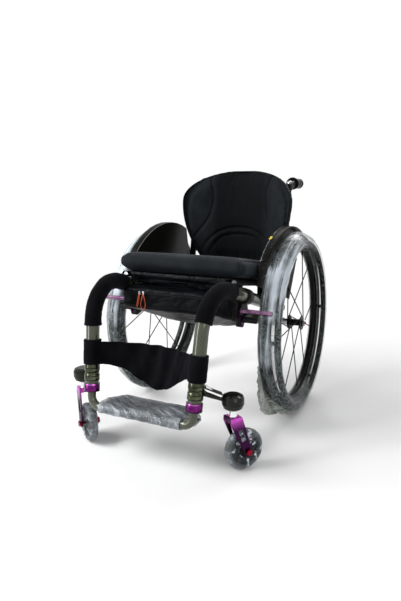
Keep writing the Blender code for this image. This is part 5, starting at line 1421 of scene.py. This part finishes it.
def swollen(obj, voxel, cap, shares, pressure=4.0):
    """Lets a closed cover swell with gravity off, and keeps those shares of the move in X, Y and Z.

    No point moves further than cap.
    """
    step = obj.modifiers.new("Voxels", "REMESH")
    step.mode = "VOXEL"
    step.voxel_size = voxel
    apply_all(obj)
    before = vertex_array(obj)
    step = obj.modifiers.new("Swell", "CLOTH")
    step.settings.use_pressure = True
    step.settings.uniform_pressure_force = pressure
    step.settings.effector_weights.gravity = 0
    for number in range(1, SWELL_FRAMES + 1):
        bpy.context.scene.frame_set(number)
    apply_all(obj)
    bpy.context.scene.frame_set(1)
    move = vertex_array(obj) - before
    length = np.linalg.norm(move, axis=1, keepdims=True)
    move *= np.minimum(1.0, cap / np.maximum(length, 1e-9)) * np.array(shares)
    place_vertices(obj, before + move)
    finer(obj)
    only(obj)
    bpy.ops.object.shade_smooth()


def fitted(obj, low, high):
    """Stretches a piece to fill the box from low to high."""
    places = vertex_array(obj)
    least, most = places.min(axis=0), places.max(axis=0)
    place_vertices(obj, np.array(low) + (places - least) / (most - least) * (np.array(high) - np.array(low)))


def distance_to(line, points):
    """How far each of the (n, 2) points is from the line through the given corners."""
    nearest = np.full(len(points), 1e9)
    for a, b in zip(line, line[1:]):
        start, run = np.array(a), np.array(b) - np.array(a)
        share = np.clip(((points - start) @ run) / (run @ run), 0, 1)[:, None]
        nearest = np.minimum(nearest, np.linalg.norm(points - start - share * run, axis=1))
    return nearest


CUSHION_HALF_X = 0.210
CUSHION_HALF_Y = 0.1995
CUSHION_HALF_Z = 0.029
CUSHION_CROWN = 0.0055
CUSHION_FRONT_Y = -0.333
CUSHION_SEAM_IN = 0.013


def make_seat_cushion(finish):
    """A soft crowned cushion with a full front roll and boxed ends sewn on."""
    cushion = block("seat_cushion_sewn", (0.4120, 0.3910, 0.0520))
    step = cushion.modifiers.new("Roll", "BEVEL")
    step.width = 0.0240
    step.segments = 7
    step.limit_method = "NONE"
    apply_all(cushion)
    swollen(cushion, 0.006, 0.009, (0.1, 0.25, 0.9))

    def crowned(vert):
        x, y, z = vert.co
        across = 1 - min(1.0, abs(x) / 0.21) ** 2
        along = 1 - min(1.0, abs(y) / 0.2) ** 2
        lift = 0.004 * across * along if z > 0 else 0.0
        draw = 0.003 * along * (1 if x > 0 else -1) * (abs(x) / 0.21) ** 6
        dip = noise.noise(Vector((x * 9, y * 9, 0))) * 0.0012 * (z > 0)
        return Vector((-draw, 0, lift + dip))

    shifted(cushion, crowned)
    low = (-CUSHION_HALF_X, -CUSHION_HALF_Y, -CUSHION_HALF_Z)
    fitted(cushion, low, (CUSHION_HALF_X, CUSHION_HALF_Y, CUSHION_HALF_Z + CUSHION_CROWN))

    def seamed(vert):
        return vert.normal * -ridge(abs(vert.co.x) - CUSHION_HALF_X + CUSHION_SEAM_IN, 0.0030, 0.0032)

    shifted(cushion, seamed)
    middle_y = (CUSHION_FRONT_Y + SEAT_REAR_Y) / 2
    slope = math.atan(SEAT_SLOPE)
    lift = (CUSHION_HALF_Z + 0.0012) / math.cos(slope)
    tilt = Matrix.Translation(at(0, middle_y, seat_z(middle_y) + lift)) @ Matrix.Rotation(-slope, 4, "X")
    settle(cushion, tilt)
    dress(cushion, "frame", finish["cover"], ["seat_cushion"])


BACK_LOW_Z = 0.4695
BACK_WIDE_Z = 0.690
BACK_TOP_Z = 0.7945
BACK_HALF = 0.208
BACK_ROUND = 2.15
PIPING_R = 0.0024
PIPING_AHEAD = 0.0045


def back_half_width(z):
    """Half the pad's width at a height: drawn in below its widest place and arched above it."""
    if z <= BACK_WIDE_Z:
        return BACK_HALF - 1.45 * (BACK_WIDE_Z - z) ** 2
    share = min(1.0, (z - BACK_WIDE_Z) / 0.106)
    return BACK_HALF * (1 - share**BACK_ROUND) ** (1 / BACK_ROUND)


def back_y(x, z):
    """The pad's rim in depth: it leans back with the height and curves forward at its sides."""
    return 0.166 + 0.123 * (z - 0.468) - 0.087 * (x / BACK_HALF) ** 2


# The pad's grooves on its left half, as (x, z), from above or the middle on
WING_SEAM = [(0.119, 0.779), (0.112, 0.755), (0.104, 0.729), (0.102, 0.700), (0.107, 0.660)]
WING_SEAM += [(0.115, 0.630), (0.133, 0.600), (0.154, 0.572), (0.166, 0.556)]
ARCH_SEAM = [(0, 0.592), (0.045, 0.5895), (0.083, 0.575), (0.110, 0.552), (0.125, 0.532)]
ARCH_SEAM += [(0.138, 0.505), (0.143, 0.490)]
ROLL_SEAM = [(0, 0.569), (0.034, 0.5665), (0.058, 0.562), (0.080, 0.547), (0.100, 0.522)]
ROLL_SEAM += [(0.112, 0.505), (0.118, 0.490)]
# Each groove's line, depth and width
GROOVES = ((WING_SEAM, 0.0042, 0.0050), (ARCH_SEAM, 0.0048, 0.0050), (ROLL_SEAM, 0.0042, 0.0045))


def make_back_cushion(finish):
    """The wrapped pad: two side wings, and a lumbar panel under an arched roll."""
    pad = copy_of("back_cushion", "back_cushion_sewn")
    shifted(pad, lambda vert: vert.normal * -0.0016)
    swollen(pad, 0.005, 0.006, (0.05, 1.0, 0.05))
    low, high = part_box("back_cushion")
    depths = [vert.co.y for vert in pad.data.vertices]
    fitted(pad, (low.x, min(depths), low.z), (high.x, max(depths), high.z))
    shifted(pad, lambda vert: Vector((vert.normal.x, 0, vert.normal.z)) * 0.0028)
    places, normals = vertex_array(pad), vertex_array(pad, "normal")
    flat = np.column_stack([np.abs(places[:, 0]), places[:, 2]])
    facing = np.clip(-normals[:, 1] * 2.0, 0, 1)
    depth = np.zeros(len(places))
    for line, deep, width in GROOVES:
        depth -= deep * np.exp(-((distance_to(line, flat) / width) ** 2))
    roll = [((a[0] + b[0]) / 2, (a[1] + b[1]) / 2) for a, b in zip(ARCH_SEAM, ROLL_SEAM)]
    depth += 0.0034 * np.exp(-((distance_to(roll, flat) / 0.0085) ** 2))
    place_vertices(pad, places + normals * (depth * facing)[:, None])
    dress(pad, "backrest", finish["back_cover"], ["back_cushion"])


def make_back_piping(finish):
    """The piped border round the pad, broader in depth than in height."""
    outline = []
    for step in range(61):
        z = BACK_LOW_Z + (BACK_TOP_Z - BACK_LOW_Z) * math.sin(math.pi / 2 * step / 60)
        outline.append((back_half_width(z), z))
    outline += [(-x, z) for x, z in reversed(outline)]
    line = [at(x * 0.990, back_y(x, z) - PIPING_AHEAD, z) for x, z in outline]
    line.append(line[0])
    border = piped("back_piping", evenly(line, 0.005), PIPING_R, 4)

    def broadened(vert):
        x, y, z = vert.co
        return Vector((0, 1.5 * (y - AXLE.y + PIPING_AHEAD - back_y(x, z)), 0))

    shifted(border, broadened)
    smooth(border)
    dress(border, "backrest", finish["piping"])


SLING_BEND_R = 0.0098
BAND_HALF_X = 0.158


def make_sling(finish):
    """Nylon stretched over the rails, with a wrinkled band hanging from its front edge."""
    bends = [math.pi * 0.75 * step / 9 for step in range(1, 10)]
    side = [(RAIL_X + SLING_BEND_R * math.sin(bend), SLING_BEND_R * (math.cos(bend) - 1)) for bend in bends]
    flat = [(RAIL_X * (2 * step / 60 - 1), 0.0) for step in range(61)]
    line = [(-x, drop) for x, drop in reversed(side)] + flat + side
    rows = 70
    points = []
    for x, drop in line:
        for row in range(rows):
            y = SLING_FRONT_Y + (SEAT_REAR_Y - SLING_FRONT_Y) * row / (rows - 1)
            waver = noise.noise(Vector((x * 20, y * 20, 0)))
            dip = 0.0 if drop else -0.0006 * (1 - (x / RAIL_X) ** 2) * (1 + waver)
            points.append(at(x, y, seat_z(y) - 0.0014 + drop + dip))
    top = mesh_of("sling_top", points, grid_faces(len(line), rows))
    thicken(top, 0.0018)
    columns, rows = 110, 22
    points = []
    for column in range(columns):
        x = BAND_HALF_X * (2 * column / (columns - 1) - 1)
        for row in range(rows):
            down = row / (rows - 1)
            pull = noise.noise(Vector((x * 26, down * 1.3, 2.0))) * 0.0022 * down
            pull += noise.noise(Vector((x * 8, down * 3.0, 9.0))) * 0.0018
            roll = 0.0035 * math.sin(math.pi * min(1.0, down * 1.4)) + ridge(down - 0.82, 0.0008, 0.05)
            hang = 0.026 + 0.0015 * noise.noise(Vector((x * 12, 0, 4.0)))
            z = seat_z(SLING_FRONT_Y) - 0.0024 - down * hang
            points.append(at(x, SLING_FRONT_Y - 0.0006 - roll + pull, z))
    band = mesh_of("sling_band", points, grid_faces(columns, rows))
    thicken(band, 0.0014)
    sling = joined("seat_sling_sewn", [top, band])
    smooth(sling, 50)
    dress(sling, "frame", finish["nylon"], ["seat_sling"])


BAG_FRONT_Y = -0.392
BAG_SHOULDER_Y = -0.3215
BAG_REAR_Y = -0.190
BAG_TOP_Z = 0.4540
BAG_HALF = 0.1535
UNDER_SLING = 0.0045
# How far out each ring of the bag's closed end lies, and how much it is drawn in
BAG_END = ((0.1555, 0.02), (0.1555, 0.5), (0.1552, 0.8), (0.1545, 0.93))


def bag_ring(x, shrink):
    """The bag's section at x, sagging most in the middle."""
    corners = [(BAG_FRONT_Y, BAG_TOP_Z), (BAG_FRONT_Y, 0.393), (BAG_REAR_Y, 0.306)]
    corners += [(y, seat_z(y) - UNDER_SLING) for y in (BAG_REAR_Y, BAG_SHOULDER_Y)]
    corners += [(BAG_SHOULDER_Y, BAG_TOP_Z)]
    line = [Vector((0, y, z)) for y, z in corners]
    ring = evenly(line + line[:1], 0.0055)[:-1]
    count = len(ring)
    for _ in range(3):
        ring = [(ring[i - 1] + ring[i] * 2 + ring[(i + 1) % count]) / 4 for i in range(count)]
    centre = sum(ring, Vector()) / count
    end = abs(x) / BAG_HALF
    made = []
    for index, spot in enumerate(ring):
        out = (spot - centre).normalized()
        wave = noise.noise(Vector((x * 20, index * 0.14, 0.5))) * 0.0022
        wave += abs(noise.noise(Vector((x * 34 + index * 0.22, index * 0.05, 3.0)))) * -0.0042
        wave += noise.noise(Vector((x * 60, index * 0.45, 8.0))) * 0.0007
        spot = centre + (spot - centre) * shrink + out * (wave - 0.0005)
        low = max(0.0, (centre.z - spot.z) / 0.07)
        spot = spot + Vector((0, 0, 0.010 * low * end**3))
        spot.y = max(spot.y, BAG_FRONT_Y)
        made.append(at(x, spot.y, min(spot.z, seat_z(spot.y) - 0.0042)))
    return made


def make_bag(finish):
    """A slack nylon bag under the sling, with piping along its low edge."""
    rings = [bag_ring(-x, shrink) for x, shrink in BAG_END]
    for step in range(77):
        x = BAG_HALF * (2 * step / 76 - 1)
        rings.append(bag_ring(x, 1 - 0.035 * (abs(x) / BAG_HALF) ** 8))
    rings += [bag_ring(x, shrink) for x, shrink in reversed(BAG_END)]
    count = len(rings[0])
    points = [point for ring in rings for point in ring]
    faces = grid_faces(len(rings), count, loop_rows=True)
    last = len(points)
    faces += [tuple(range(count)), tuple(range(last - 1, last - count - 1, -1))]
    bag = mesh_of("underseat_bag_sewn", points, faces)
    outwards(bag)
    finer(bag)
    smooth(bag, 60)
    dress(bag, "frame", finish["nylon"], ["underseat_bag"])

    line = []
    for step in range(61):
        x = WELT_HALF * (2 * step / 60 - 1)
        y = BAG_FRONT_Y - 0.0008 + 0.0015 * (x / WELT_HALF) ** 2
        line.append(at(x, y, 0.4035 + 0.002 * math.sin(x * 30)))
    welt = piped("bag_welt", line, 0.0014, 3)
    smooth(welt)
    dress(welt, "frame", finish["piping"])


WELT_HALF = 0.150
TOOTH_SIZE = (0.0013, 0.0016, 0.0042)
TOOTH_PITCH = 0.0023
TEETH = 112
SLIDER_SIZE = (0.0066, 0.0034, 0.0110)
# Each slider's x, and its pull's lean to the side, lowest height and how far its strands part
PULLS = ((-0.0920, -0.0082, 0.4000, 0.0045), (-0.0790, -0.0008, 0.3945, 0.0225))
PULL_TOP_Z = 0.4400
PULL_R = 0.0008


def make_zip(finish):
    """The row of teeth along the bag's front, and two sliders with their pulls."""
    teeth = block("bag_zip", TOOTH_SIZE, at(-0.1295, BAG_FRONT_Y - 0.0008, 0.4425))
    step = teeth.modifiers.new("Row", "ARRAY")
    step.use_relative_offset = False
    step.use_constant_offset = True
    step.constant_offset_displace = (TOOTH_PITCH, 0, 0)
    step.count = TEETH
    apply_all(teeth)
    dress(teeth, "frame", finish["coat"])
    for index, (x, lean, low_z, parted) in enumerate(PULLS):
        slider = block(f"zip_slider_{index}", SLIDER_SIZE, at(x, BAG_FRONT_Y - 0.0020, 0.4415))
        dress(rounded(slider, 0.0008), "frame", finish["steel"])
        make_pull(index, x, lean, low_z, parted, finish)


def make_pull(index, x, lean, low_z, parted, finish):
    """A loop of orange cord on a zip slider, its two strands close above and parted below."""
    y = BAG_FRONT_Y - 0.0038
    points = []
    for step in range(61):
        turn = math.pi * step / 60
        half = 0.0010 + parted * math.sin(turn) ** 3
        drop = math.sin(turn) ** 2.2
        px = x - half * math.cos(turn) + lean * drop
        points.append(at(px, y - 0.001 * drop, PULL_TOP_Z - (PULL_TOP_Z - low_z) * drop))
    line = evenly(points, 0.0014)
    pull = piped(f"zip_pull_{index}", line, PULL_R, 3)
    smooth(pull)
    dress(pull, "frame", finish["orange"])


# Film on the footplate and the casters


# The film's section round plate and tube, as (y, z), from the plate's rear upper edge forward
PLATE_RING = [
    (-0.4425, 0.1385), (-0.480, 0.1388), (-0.520, 0.1390), (-0.534, 0.1415), (-0.5445, 0.1520),
    (-0.554, 0.1535), (-0.5645, 0.1470), (-0.5672, 0.1380), (-0.5625, 0.1290), (-0.552, 0.1242),
    (-0.536, 0.1262), (-0.500, 0.1278), (-0.460, 0.1278), (-0.4415, 0.1290), (-0.4395, 0.1335),
]
PLATE_MIDDLE_Z = 0.1335


def make_plate_film(finish):
    """Film bound round the footplate and the tube in front of it, crinkled and ragged at the front."""
    line = [Vector((0, y, z)) for y, z in PLATE_RING]
    ring = evenly(line + line[:1], 0.004)[:-1]
    rows = len(ring)
    columns = 96
    points = []
    for column in range(columns):
        share = 2 * column / (columns - 1) - 1
        for spot in ring:
            behind = min(1.0, max(0.0, (spot.y + 0.536) / 0.014))
            behind = behind * behind * (3 - 2 * behind)
            x = share * (0.129 + 0.0245 * behind)
            trim = max(0.0, abs(x) - 0.114) * 1.11
            y = min(spot.y, -0.4425 - trim) if spot.y > -0.50 else spot.y
            crinkle = noise.noise(Vector((x * 60, spot.y * 60, spot.z * 60))) * 0.0010
            crinkle += abs(noise.noise(Vector((x * 24, spot.y * 30, 2.0)))) * 0.0030
            up = 1 if spot.z > PLATE_MIDDLE_Z else -1
            front = max(0.0, (-0.545 - spot.y) / 0.02)
            ragged = noise.noise(Vector((x * 45, 3.0, 0))) * 0.004 * front
            z = spot.z + up * crinkle * (1 if up > 0 else 0.6) - max(0.0, ragged) * (up < 0)
            points.append(at(x, y - 0.0015 * front * abs(crinkle) * 500, z))
    film = mesh_of("footplate_film", points, grid_faces(columns, rows, loop_rows=True))
    outwards(film)
    thicken(film, FILM_WALL, 1.0)
    smooth(film, 60)
    dress(film, "frame", finish["plate_film"])


def caster_place(side):
    """The caster wheel's centre, with +Z along its axle."""
    spin = next(joint for joint in frame["joints"] if joint["name"] == f"caster_{side}_spin")
    turn = Vector((0, 0, 1)).rotation_difference(Vector(spin["axis"])).to_matrix().to_4x4()
    return Matrix.Translation(middle(f"caster_wheel_{side}")) @ turn


CASTER_RING_R = 0.0490
CASTER_TREAD_DEEP = 0.0075
CASTER_TREAD_HALF = 0.0120
# The core's half profile and the film's section, as radius and place along the axle
CASTER_CORE = [(0.0045, -0.0120), (0.0130, -0.0120), (0.0140, -0.0110), (0.0140, -0.0065)]
CASTER_CORE += [(0.0175, -0.0048), (0.0360, -0.0042), (0.0385, -0.0062), (0.0420, -0.0062)]
CASTER_WRAP = [
    (0.020, -0.0132), (0.036, -0.0136), (0.050, -0.0132), (0.0565, -0.0085), (0.0576, 0.0),
    (0.0565, 0.0085), (0.050, 0.0132), (0.036, 0.0136), (0.020, 0.0132),
]
CASTER_FILM_LOW_Z = 0.0003


def make_caster(side, finish):
    place = caster_place(side)
    tread = []
    for step in range(20):
        angle = 2 * math.pi * step / 20
        radius = CASTER_RING_R + CASTER_TREAD_DEEP * math.cos(angle)
        tread.append((radius, CASTER_TREAD_HALF * math.sin(angle)))
    ring = turned(f"caster_tyre_{side}", tread, place, 64)
    dress(ring, f"caster_wheel_{side}", finish["caster"], [f"caster_wheel_{side}"])
    disc = turned(f"caster_disc_{side}", mirrored(CASTER_CORE), place, 48)
    dress(disc, f"caster_wheel_{side}", finish["coat"])
    columns, rows = 120, 22
    section = section_points(CASTER_WRAP, rows)
    points = []
    for column in range(columns + 1):
        angle = 2 * math.pi * column / columns
        for row, spot in enumerate(section):
            lift = noise.noise(Vector((math.cos(angle) * 5, math.sin(angle) * 5, row * 0.3))) * 0.0007
            r = spot.x + lift
            w = spot.y + lift * (1 if spot.y > 0 else -1)
            point = place @ Vector((r * math.cos(angle), r * math.sin(angle), w))
            point.z = max(point.z, CASTER_FILM_LOW_Z)
            points.append(point)
    film = mesh_of(f"caster_film_{side}", points, grid_faces(columns + 1, rows))
    closed(film)
    thicken(film, FILM_WALL)
    smooth(film, 60)
    dress(film, f"caster_wheel_{side}", finish[f"caster_film_{side}"])


# The grip's profile from its domed end to its middle, and from there to its flange
GRIP_DOME = [(0.0, 0.0842), (0.0090, 0.0840), (0.0148, 0.0826), (0.0178, 0.0798), (0.0185, 0.0765)]
GRIP_DOME += [(0.0184, 0.0700)]
GRIP_RINGS = (0.0660, 0.0620, 0.0580)
GRIP_WAIST = [(0.0170, 0.0480), (0.0164, 0.0320), (0.0166, 0.0200), (0.0180, 0.0120), (0.0200, 0.0075)]
GRIP_WAIST += [(0.0206, 0.0040), (0.0206, -0.0010), (0.0196, -0.0036), (0.0170, -0.0044)]
GRIP_WAIST += [(0.0090, -0.0044)]


def make_grip(side, finish):
    """A waisted rubber grip with a domed end, three fine rings and a flange towards the post."""
    profile = list(GRIP_DOME)
    for ring in GRIP_RINGS:
        profile += [(0.0178, ring + 0.0012), (0.0171, ring), (0.0178, ring - 0.0012)]
    profile += GRIP_WAIST
    low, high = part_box(f"handle_grip_{side}")
    centre = (low + high) / 2
    start = Vector((centre.x, low.y, centre.z))
    place = Matrix.Translation(start) @ Matrix.Rotation(-math.pi / 2, 4, "X")
    grip = turned(f"handle_grip_{side}_moulded", profile, place, 40, loop=False)

    def flared(vert):
        """Widens the flange, but not below, where it would meet the post when the handle is folded."""
        spot = vert.co
        share = 0.14 * min(1.0, max(0.0, (start.y + 0.014 - spot.y) / 0.008))
        return Vector(((spot.x - start.x) * share, 0, max(0.0, spot.z - start.z) * share))

    shifted(grip, flared)
    dress(grip, f"push_handle_{side}", finish["grip"], [f"handle_grip_{side}"])


# CAD pieces that keep their shape


def paint(node_name, material):
    """Gives a CAD node that is kept as it is its finish."""
    slots = frame["nodes"][node_name].data.materials
    slots.clear()
    slots.append(material)


def ease_and_dress(node_name, edge, material, body):
    """Stands a smoothly edged copy in for a CAD node."""
    return dress(eased(node_name, edge), body, material, [node_name])


def second_finish(obj, material, chosen):
    """Gives the faces that chosen(face) picks another finish."""
    obj.data.materials.append(material)
    number = len(obj.data.materials) - 1
    for face in obj.data.polygons:
        if chosen(face):
            face.material_index = number


COLLAR_R = 0.0250
COLLAR_WALL_R = 0.0242


def make_caster_arm(side, sign, finish):
    """A bright arm with a grooved pocket in each flank and a dark collar; a painted dark reflection lies on
    its top, bottom, ends, groove walls and lower flanks.
    """
    arm = eased(f"caster_arm_{side}", 0.0008)
    across = Vector((sign * 0.59, -0.81, 0)).normalized()

    def off_leg(face):
        return (face.center - leg_point(sign, face.center.z)).length > COLLAR_R

    def trimmed(vert):
        """Draws the collar's outer wall in towards the leg."""
        arm_out = vert.co - leg_point(sign, vert.co.z)
        inner = TUBE_R + 0.0003
        if not inner < arm_out.length < COLLAR_WALL_R:
            return Vector((0, 0, 0))
        return arm_out * ((inner + (arm_out.length - inner) * 0.55) / arm_out.length - 1)

    shifted(arm, trimmed)
    pockets = set()
    for face in arm.data.polygons:
        if abs(face.normal.dot(across)) > 0.99 and face.area > 3e-4:
            pockets.add(face.index)
    for width, depth in ((0.0048, 0.0), (0.0016, -0.0014)):
        pockets = inset_faces(arm, pockets, width, depth)
    dress(arm, "frame", finish["mirror"], [f"caster_arm_{side}"])

    start, end = leg_point(sign, 0.2415), at(sign * 0.2437, -0.479, 0.200)
    run = (end - start).xy

    def dark(face):
        """Whether a face takes the painted dark reflection: it lies below the line from start to end, or is
        no part of a flank.
        """
        if not off_leg(face) or face.index in pockets:
            return False
        share = (face.center - start).xy.dot(run) / run.length_squared
        below = face.center.z < start.z + share * (end.z - start.z)
        return below or abs(face.normal.dot(across)) < 0.985

    second_finish(arm, finish["collar"], lambda face: not off_leg(face))
    # The olive gloss here is a painted dark reflection on the bright metal.
    second_finish(arm, finish["olive"], dark)


def make_tape(finish):
    """A twist of yellow tape on the left guard's shoulder."""
    centre, length, width = at(0.2185, -0.131, 0.5880), 0.013, 0.007
    columns, rows = 14, 7
    points = []
    for column in range(columns):
        share = column / (columns - 1)
        for row in range(rows):
            out = row / (rows - 1) - 0.5
            curl = 0.0016 * math.sin(share * 7) + 0.0012 * math.sin(out * 9 + share * 4)
            run = (share - 0.5) * length
            points.append(centre + Vector((out * width, run, 0.0022 + curl + 0.45 * run)))
    tape = mesh_of("guard_tape", points, grid_faces(columns, rows))
    thicken(tape, 0.0004)
    smooth(tape, 60)
    dress(tape, "frame", finish["yellow"])


# The pieces of each side that keep their CAD shape, with their finishes
PAINTED = {
    "axle_pin": "steel",
    "axle_button": "red",
    "axle_sleeve": "steel",
    "caster_housing": "olive",
    "caster_stem": "mirror",
    "caster_bolt": "red",
    "seat_rail": "dark_steel",
}
# The brake's rod lies further out than this on either side, and its arm further in
ROD_FROM_X = 0.193


def main():
    make_camera()
    make_studio()
    finish = make_finishes()
    make_frame_tubes(finish)
    for side, sign in SIDES:
        make_rear_wheel(side, sign, finish)
        make_knee_sleeve(side, sign, finish)
        make_caster(side, finish)
        make_grip(side, finish)
        for part, kind in PAINTED.items():
            paint(f"{part}_{side}", finish[kind])
        ease_and_dress(f"back_post_{side}", 0.0006, finish["carbon_side"], "backrest")
        ease_and_dress(f"handle_stem_{side}", 0.0006, finish["steel"], f"push_handle_{side}")
        ease_and_dress(f"side_guard_{side}", 0.0008, finish[f"guard_{side}"], "frame")
        make_caster_arm(side, sign, finish)
        ease_and_dress(f"rear_bracket_{side}", 0.0008, finish["coat"], "frame")
        ease_and_dress(f"brake_mount_{side}", 0.0008, finish["coat"], "frame")
        arm = ease_and_dress(f"brake_arm_{side}", 0.0006, finish["plum"], f"brake_arm_{side}")
        second_finish(arm, finish["pink"], lambda face: abs(face.center.x) > ROD_FROM_X)
        # The rod's underside takes the dark plum as painted shade.
        second_finish(
            arm, finish["plum"], lambda face: abs(face.center.x) > ROD_FROM_X and face.normal.z < -0.3
        )
        ease_and_dress(f"brake_lever_{side}", 0.0010, finish["coat"], f"brake_lever_{side}")
        swivel = f"caster_swivel_{side}"
        fork = ease_and_dress(f"caster_fork_{side}", 0.0009, finish["fork"], swivel)
        # The crown's front faces take the dark plum as painted shade.
        second_finish(fork, finish["plum"], lambda face: face.normal.y < -0.7 and face.center.z > 0.12)
        ease_and_dress(f"footrest_clamp_{side}", 0.0008, finish["clamp"], "frame")
    make_film_tail(finish)
    make_tape(finish)
    make_calf_strap(finish)
    make_plate_film(finish)
    make_seat_cushion(finish)
    make_sling(finish)
    make_bag(finish)
    make_zip(finish)
    make_back_cushion(finish)
    make_back_piping(finish)
    ease_and_dress("footplate", 0.0008, finish["coat"], "frame")
    ease_and_dress("back_brace", 0.0004, finish["coat"], "backrest")
    ease_and_dress("back_shell", 0.0006, finish["carbon_back"], "backrest")


main()
